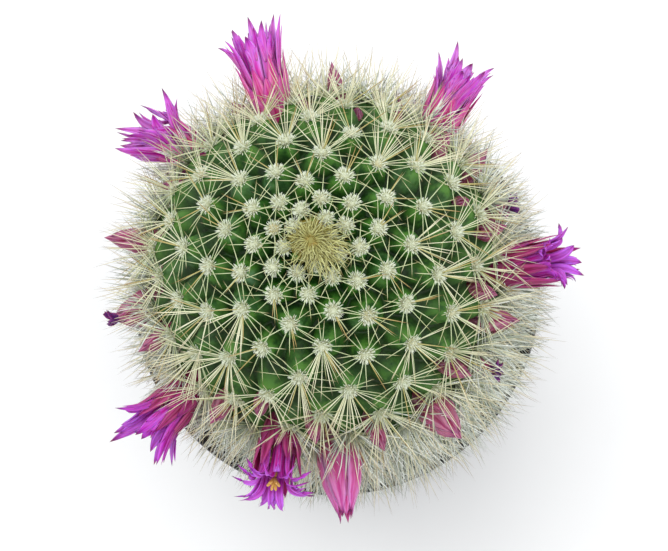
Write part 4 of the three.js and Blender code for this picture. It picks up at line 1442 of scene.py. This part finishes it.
def make_pot():
    """A turned wall with a collar and a lip, and holes cut through the edge of its floor."""
    lip_z = POT_HEIGHT - LIP_HEIGHT
    rim_r = collar_r(POT_HEIGHT) - POT_WALL
    outline = [
        [POT_BASE_R - 6, 0.7],
        [POT_BASE_R - 4, 0],
        [POT_BASE_R - 1, 0],
        [wall_r(0.3) - 0.3, 0.3],
        [wall_r(1), 1],
        *([wall_r(z), z] for z in np.linspace(4, COLLAR_Z - 0.6, 8)),
        [wall_r(COLLAR_Z) + 0.15, COLLAR_Z],
        [collar_r(COLLAR_Z) - 0.4, COLLAR_Z + 0.4],
        [collar_r(COLLAR_Z), COLLAR_Z + 1],
        *([collar_r(z), z] for z in (COLLAR_Z + 3, COLLAR_Z + 6, lip_z - 0.2)),
        [POT_RIM_R - 0.2, lip_z + 0.1],
        [POT_RIM_R, lip_z + 0.5],
        [POT_RIM_R, POT_HEIGHT - 0.5],
        [POT_RIM_R - 0.2, POT_HEIGHT - 0.12],
        [POT_RIM_R - 0.6, POT_HEIGHT],
        [rim_r + 0.4, POT_HEIGHT],
        [rim_r, POT_HEIGHT - 0.4],
        [collar_r(COLLAR_Z + 1) - POT_WALL, COLLAR_Z + 1],
        [wall_r(COLLAR_Z) - POT_WALL, COLLAR_Z],
        [wall_r(POT_FLOOR) - POT_WALL, POT_FLOOR],
        [0, POT_FLOOR],
    ]
    shape = Shape()
    shape.add(*stitched(*turned(outline, POT_SIDES)))
    pot = shape.piece("nursery_pot", "pot", [pot_material()], ["pot"], mapped=False)
    drill = bmesh.new()
    for i in range(DRAIN_HOLES):
        x, y, _ = polar(DRAIN_RING_R, 2 * math.pi * i / DRAIN_HOLES, 0.0) * MM
        bmesh.ops.create_cone(drill, cap_ends=True, segments=32, radius1=DRAIN_R * MM, radius2=DRAIN_R * MM,
                              depth=2.5 * DRAIN_R * MM, matrix=Matrix.Translation((x, y, 0)))
    cutter_mesh = bpy.data.meshes.new("drain_cutter")
    drill.to_mesh(cutter_mesh)
    drill.free()
    cutter = linked("drain_cutter", cutter_mesh)
    cut = pot.modifiers.new("drain", "BOOLEAN")
    cut.object = cutter
    cut.solver = "EXACT"
    bpy.context.view_layer.update()
    pot_mesh = bpy.data.meshes.new_from_object(pot.evaluated_get(bpy.context.evaluated_depsgraph_get()))
    pot.modifiers.clear()
    pot.data = pot_mesh
    bpy.data.objects.remove(cutter)
    pot.data.set_sharp_from_angle(angle=math.radians(35))


def make_soil():
    """Potting mix: an uneven surface with loose grains, up to the plain hole of the stem's foot."""
    rng = np.random.default_rng(11)
    lowest = POINT[-1]
    foot_r = mix(FOOT_R, math.hypot(lowest[0], lowest[1]), (SOIL_Z - FOOT_Z) / (lowest[2] - FOOT_Z))
    hole_r = foot_r + 1.5 * GAP
    inset = POT_WALL + GAP
    top_r = collar_r(SOIL_Z) - inset
    sides = 120

    def level(radius):
        return SOIL_Z - SOIL_MOUND * (radius - hole_r) / (top_r - hole_r)

    outline = [
        [wall_r(POT_FLOOR) - inset, POT_FLOOR],
        [wall_r(COLLAR_Z) - inset, COLLAR_Z],
        [collar_r(COLLAR_Z + 1) - inset, COLLAR_Z + 1],
        *([radius, level(radius)] for radius in np.linspace(top_r, hole_r, 14)),
        [FOOT_R + 1.5 * GAP, FOOT_Z - GAP],
        [0, FOOT_Z - GAP],
    ]
    rings, tips = turned(outline, sides)
    # the rings of the surface, without those at its two edges
    rings[0, 4:16, :, 2] += rng.normal(0, SOIL_BUMPS, (12, sides))
    shape = Shape()
    shape.add(*stitched(rings, tips))
    radius = np.sqrt(rng.uniform(hole_r ** 2 + 8, (top_r - 0.8) ** 2, GRAINS))
    middle = polar(radius, rng.uniform(0, 2 * np.pi, GRAINS), level(radius))
    size = rng.uniform(*GRAIN_HALF, GRAINS)
    spindle = unit(rng.normal(size=(GRAINS, 3)))
    share = np.array([-1, -0.7, 0, 0.7, 1])[None, :, None]
    paths = middle[:, None] + spindle[:, None] * share * size[:, None, None]
    radii = size[:, None] * rng.uniform(0.5, 0.9, (GRAINS, 1)) * np.array([0.35, 0.75, 0.95, 0.7])
    tubes(shape, paths, radii, 6, 0)
    shape.piece("soil_surface", "soil", [soil_material()], ["soil"], mapped=False)


# ---------------------------------------------------------------- stage, light and camera

def make_stage():
    """A pale floor, a white world and two soft lamps."""
    mesh = bpy.data.meshes.new("floor")
    corners = [(x * FLOOR_HALF, y * FLOOR_HALF, 0) for x, y in ((-1, -1), (1, -1), (1, 1), (-1, 1))]
    mesh.from_pydata(corners, [], [(0, 1, 2, 3)])
    floor = linked("floor", mesh)
    paper = Finish("paper", Roughness=0.9)
    fac = paper.noise(40, 3)
    mesh.materials.append(paper.finish(paper.mixed(fac, (0.86, 0.86, 0.86, 1), (0.9, 0.9, 0.9, 1))))

    world = bpy.data.worlds.new("studio")
    world.use_nodes = True
    background = world.node_tree.nodes["Background"]
    background.inputs["Color"].default_value = (0.97, 0.985, 1, 1)
    background.inputs["Strength"].default_value = 1.0
    bpy.context.scene.world = world

    for name, spot, size, power in LAMPS:
        lamp = bpy.data.lights.new(name, "AREA")
        lamp.size = size
        lamp.energy = power
        light = linked(name, lamp)
        light.location = spot
        aim = Vector((0, 0, 0.1)) - Vector(spot)
        light.rotation_euler = aim.to_track_quat("-Z", "Y").to_euler()


def make_camera():
    """A long lens from just off straight above, set to match the photo."""
    forward = unit(np.array(VIEW_DIRECTION, float))
    right = unit(np.cross(forward, [0, 1, 0]))
    up = np.cross(right, forward)
    target = np.array([0, 0, CROWN_Z]) + VIEW_OFFSET[0] * right + VIEW_OFFSET[1] * up
    place = (target - VIEW_DISTANCE * forward) * MM
    data = bpy.data.cameras.new("camera")
    data.sensor_width = 36
    data.lens = data.sensor_width * VIEW_DISTANCE / VIEW_WIDTH
    data.clip_end = 20
    camera = linked("camera", data)
    columns = [Vector(right), Vector(up), Vector(-forward)]
    camera.matrix_world = Matrix.Translation(Vector(place)) @ Matrix(columns).transposed().to_4x4()
    bpy.context.scene.camera = camera
    bpy.context.scene.view_settings.view_transform = "Standard"


make_camera()
make_stage()
make_pot()
make_soil()
stem_piece()
make_wool()
make_spines()
make_blooms()
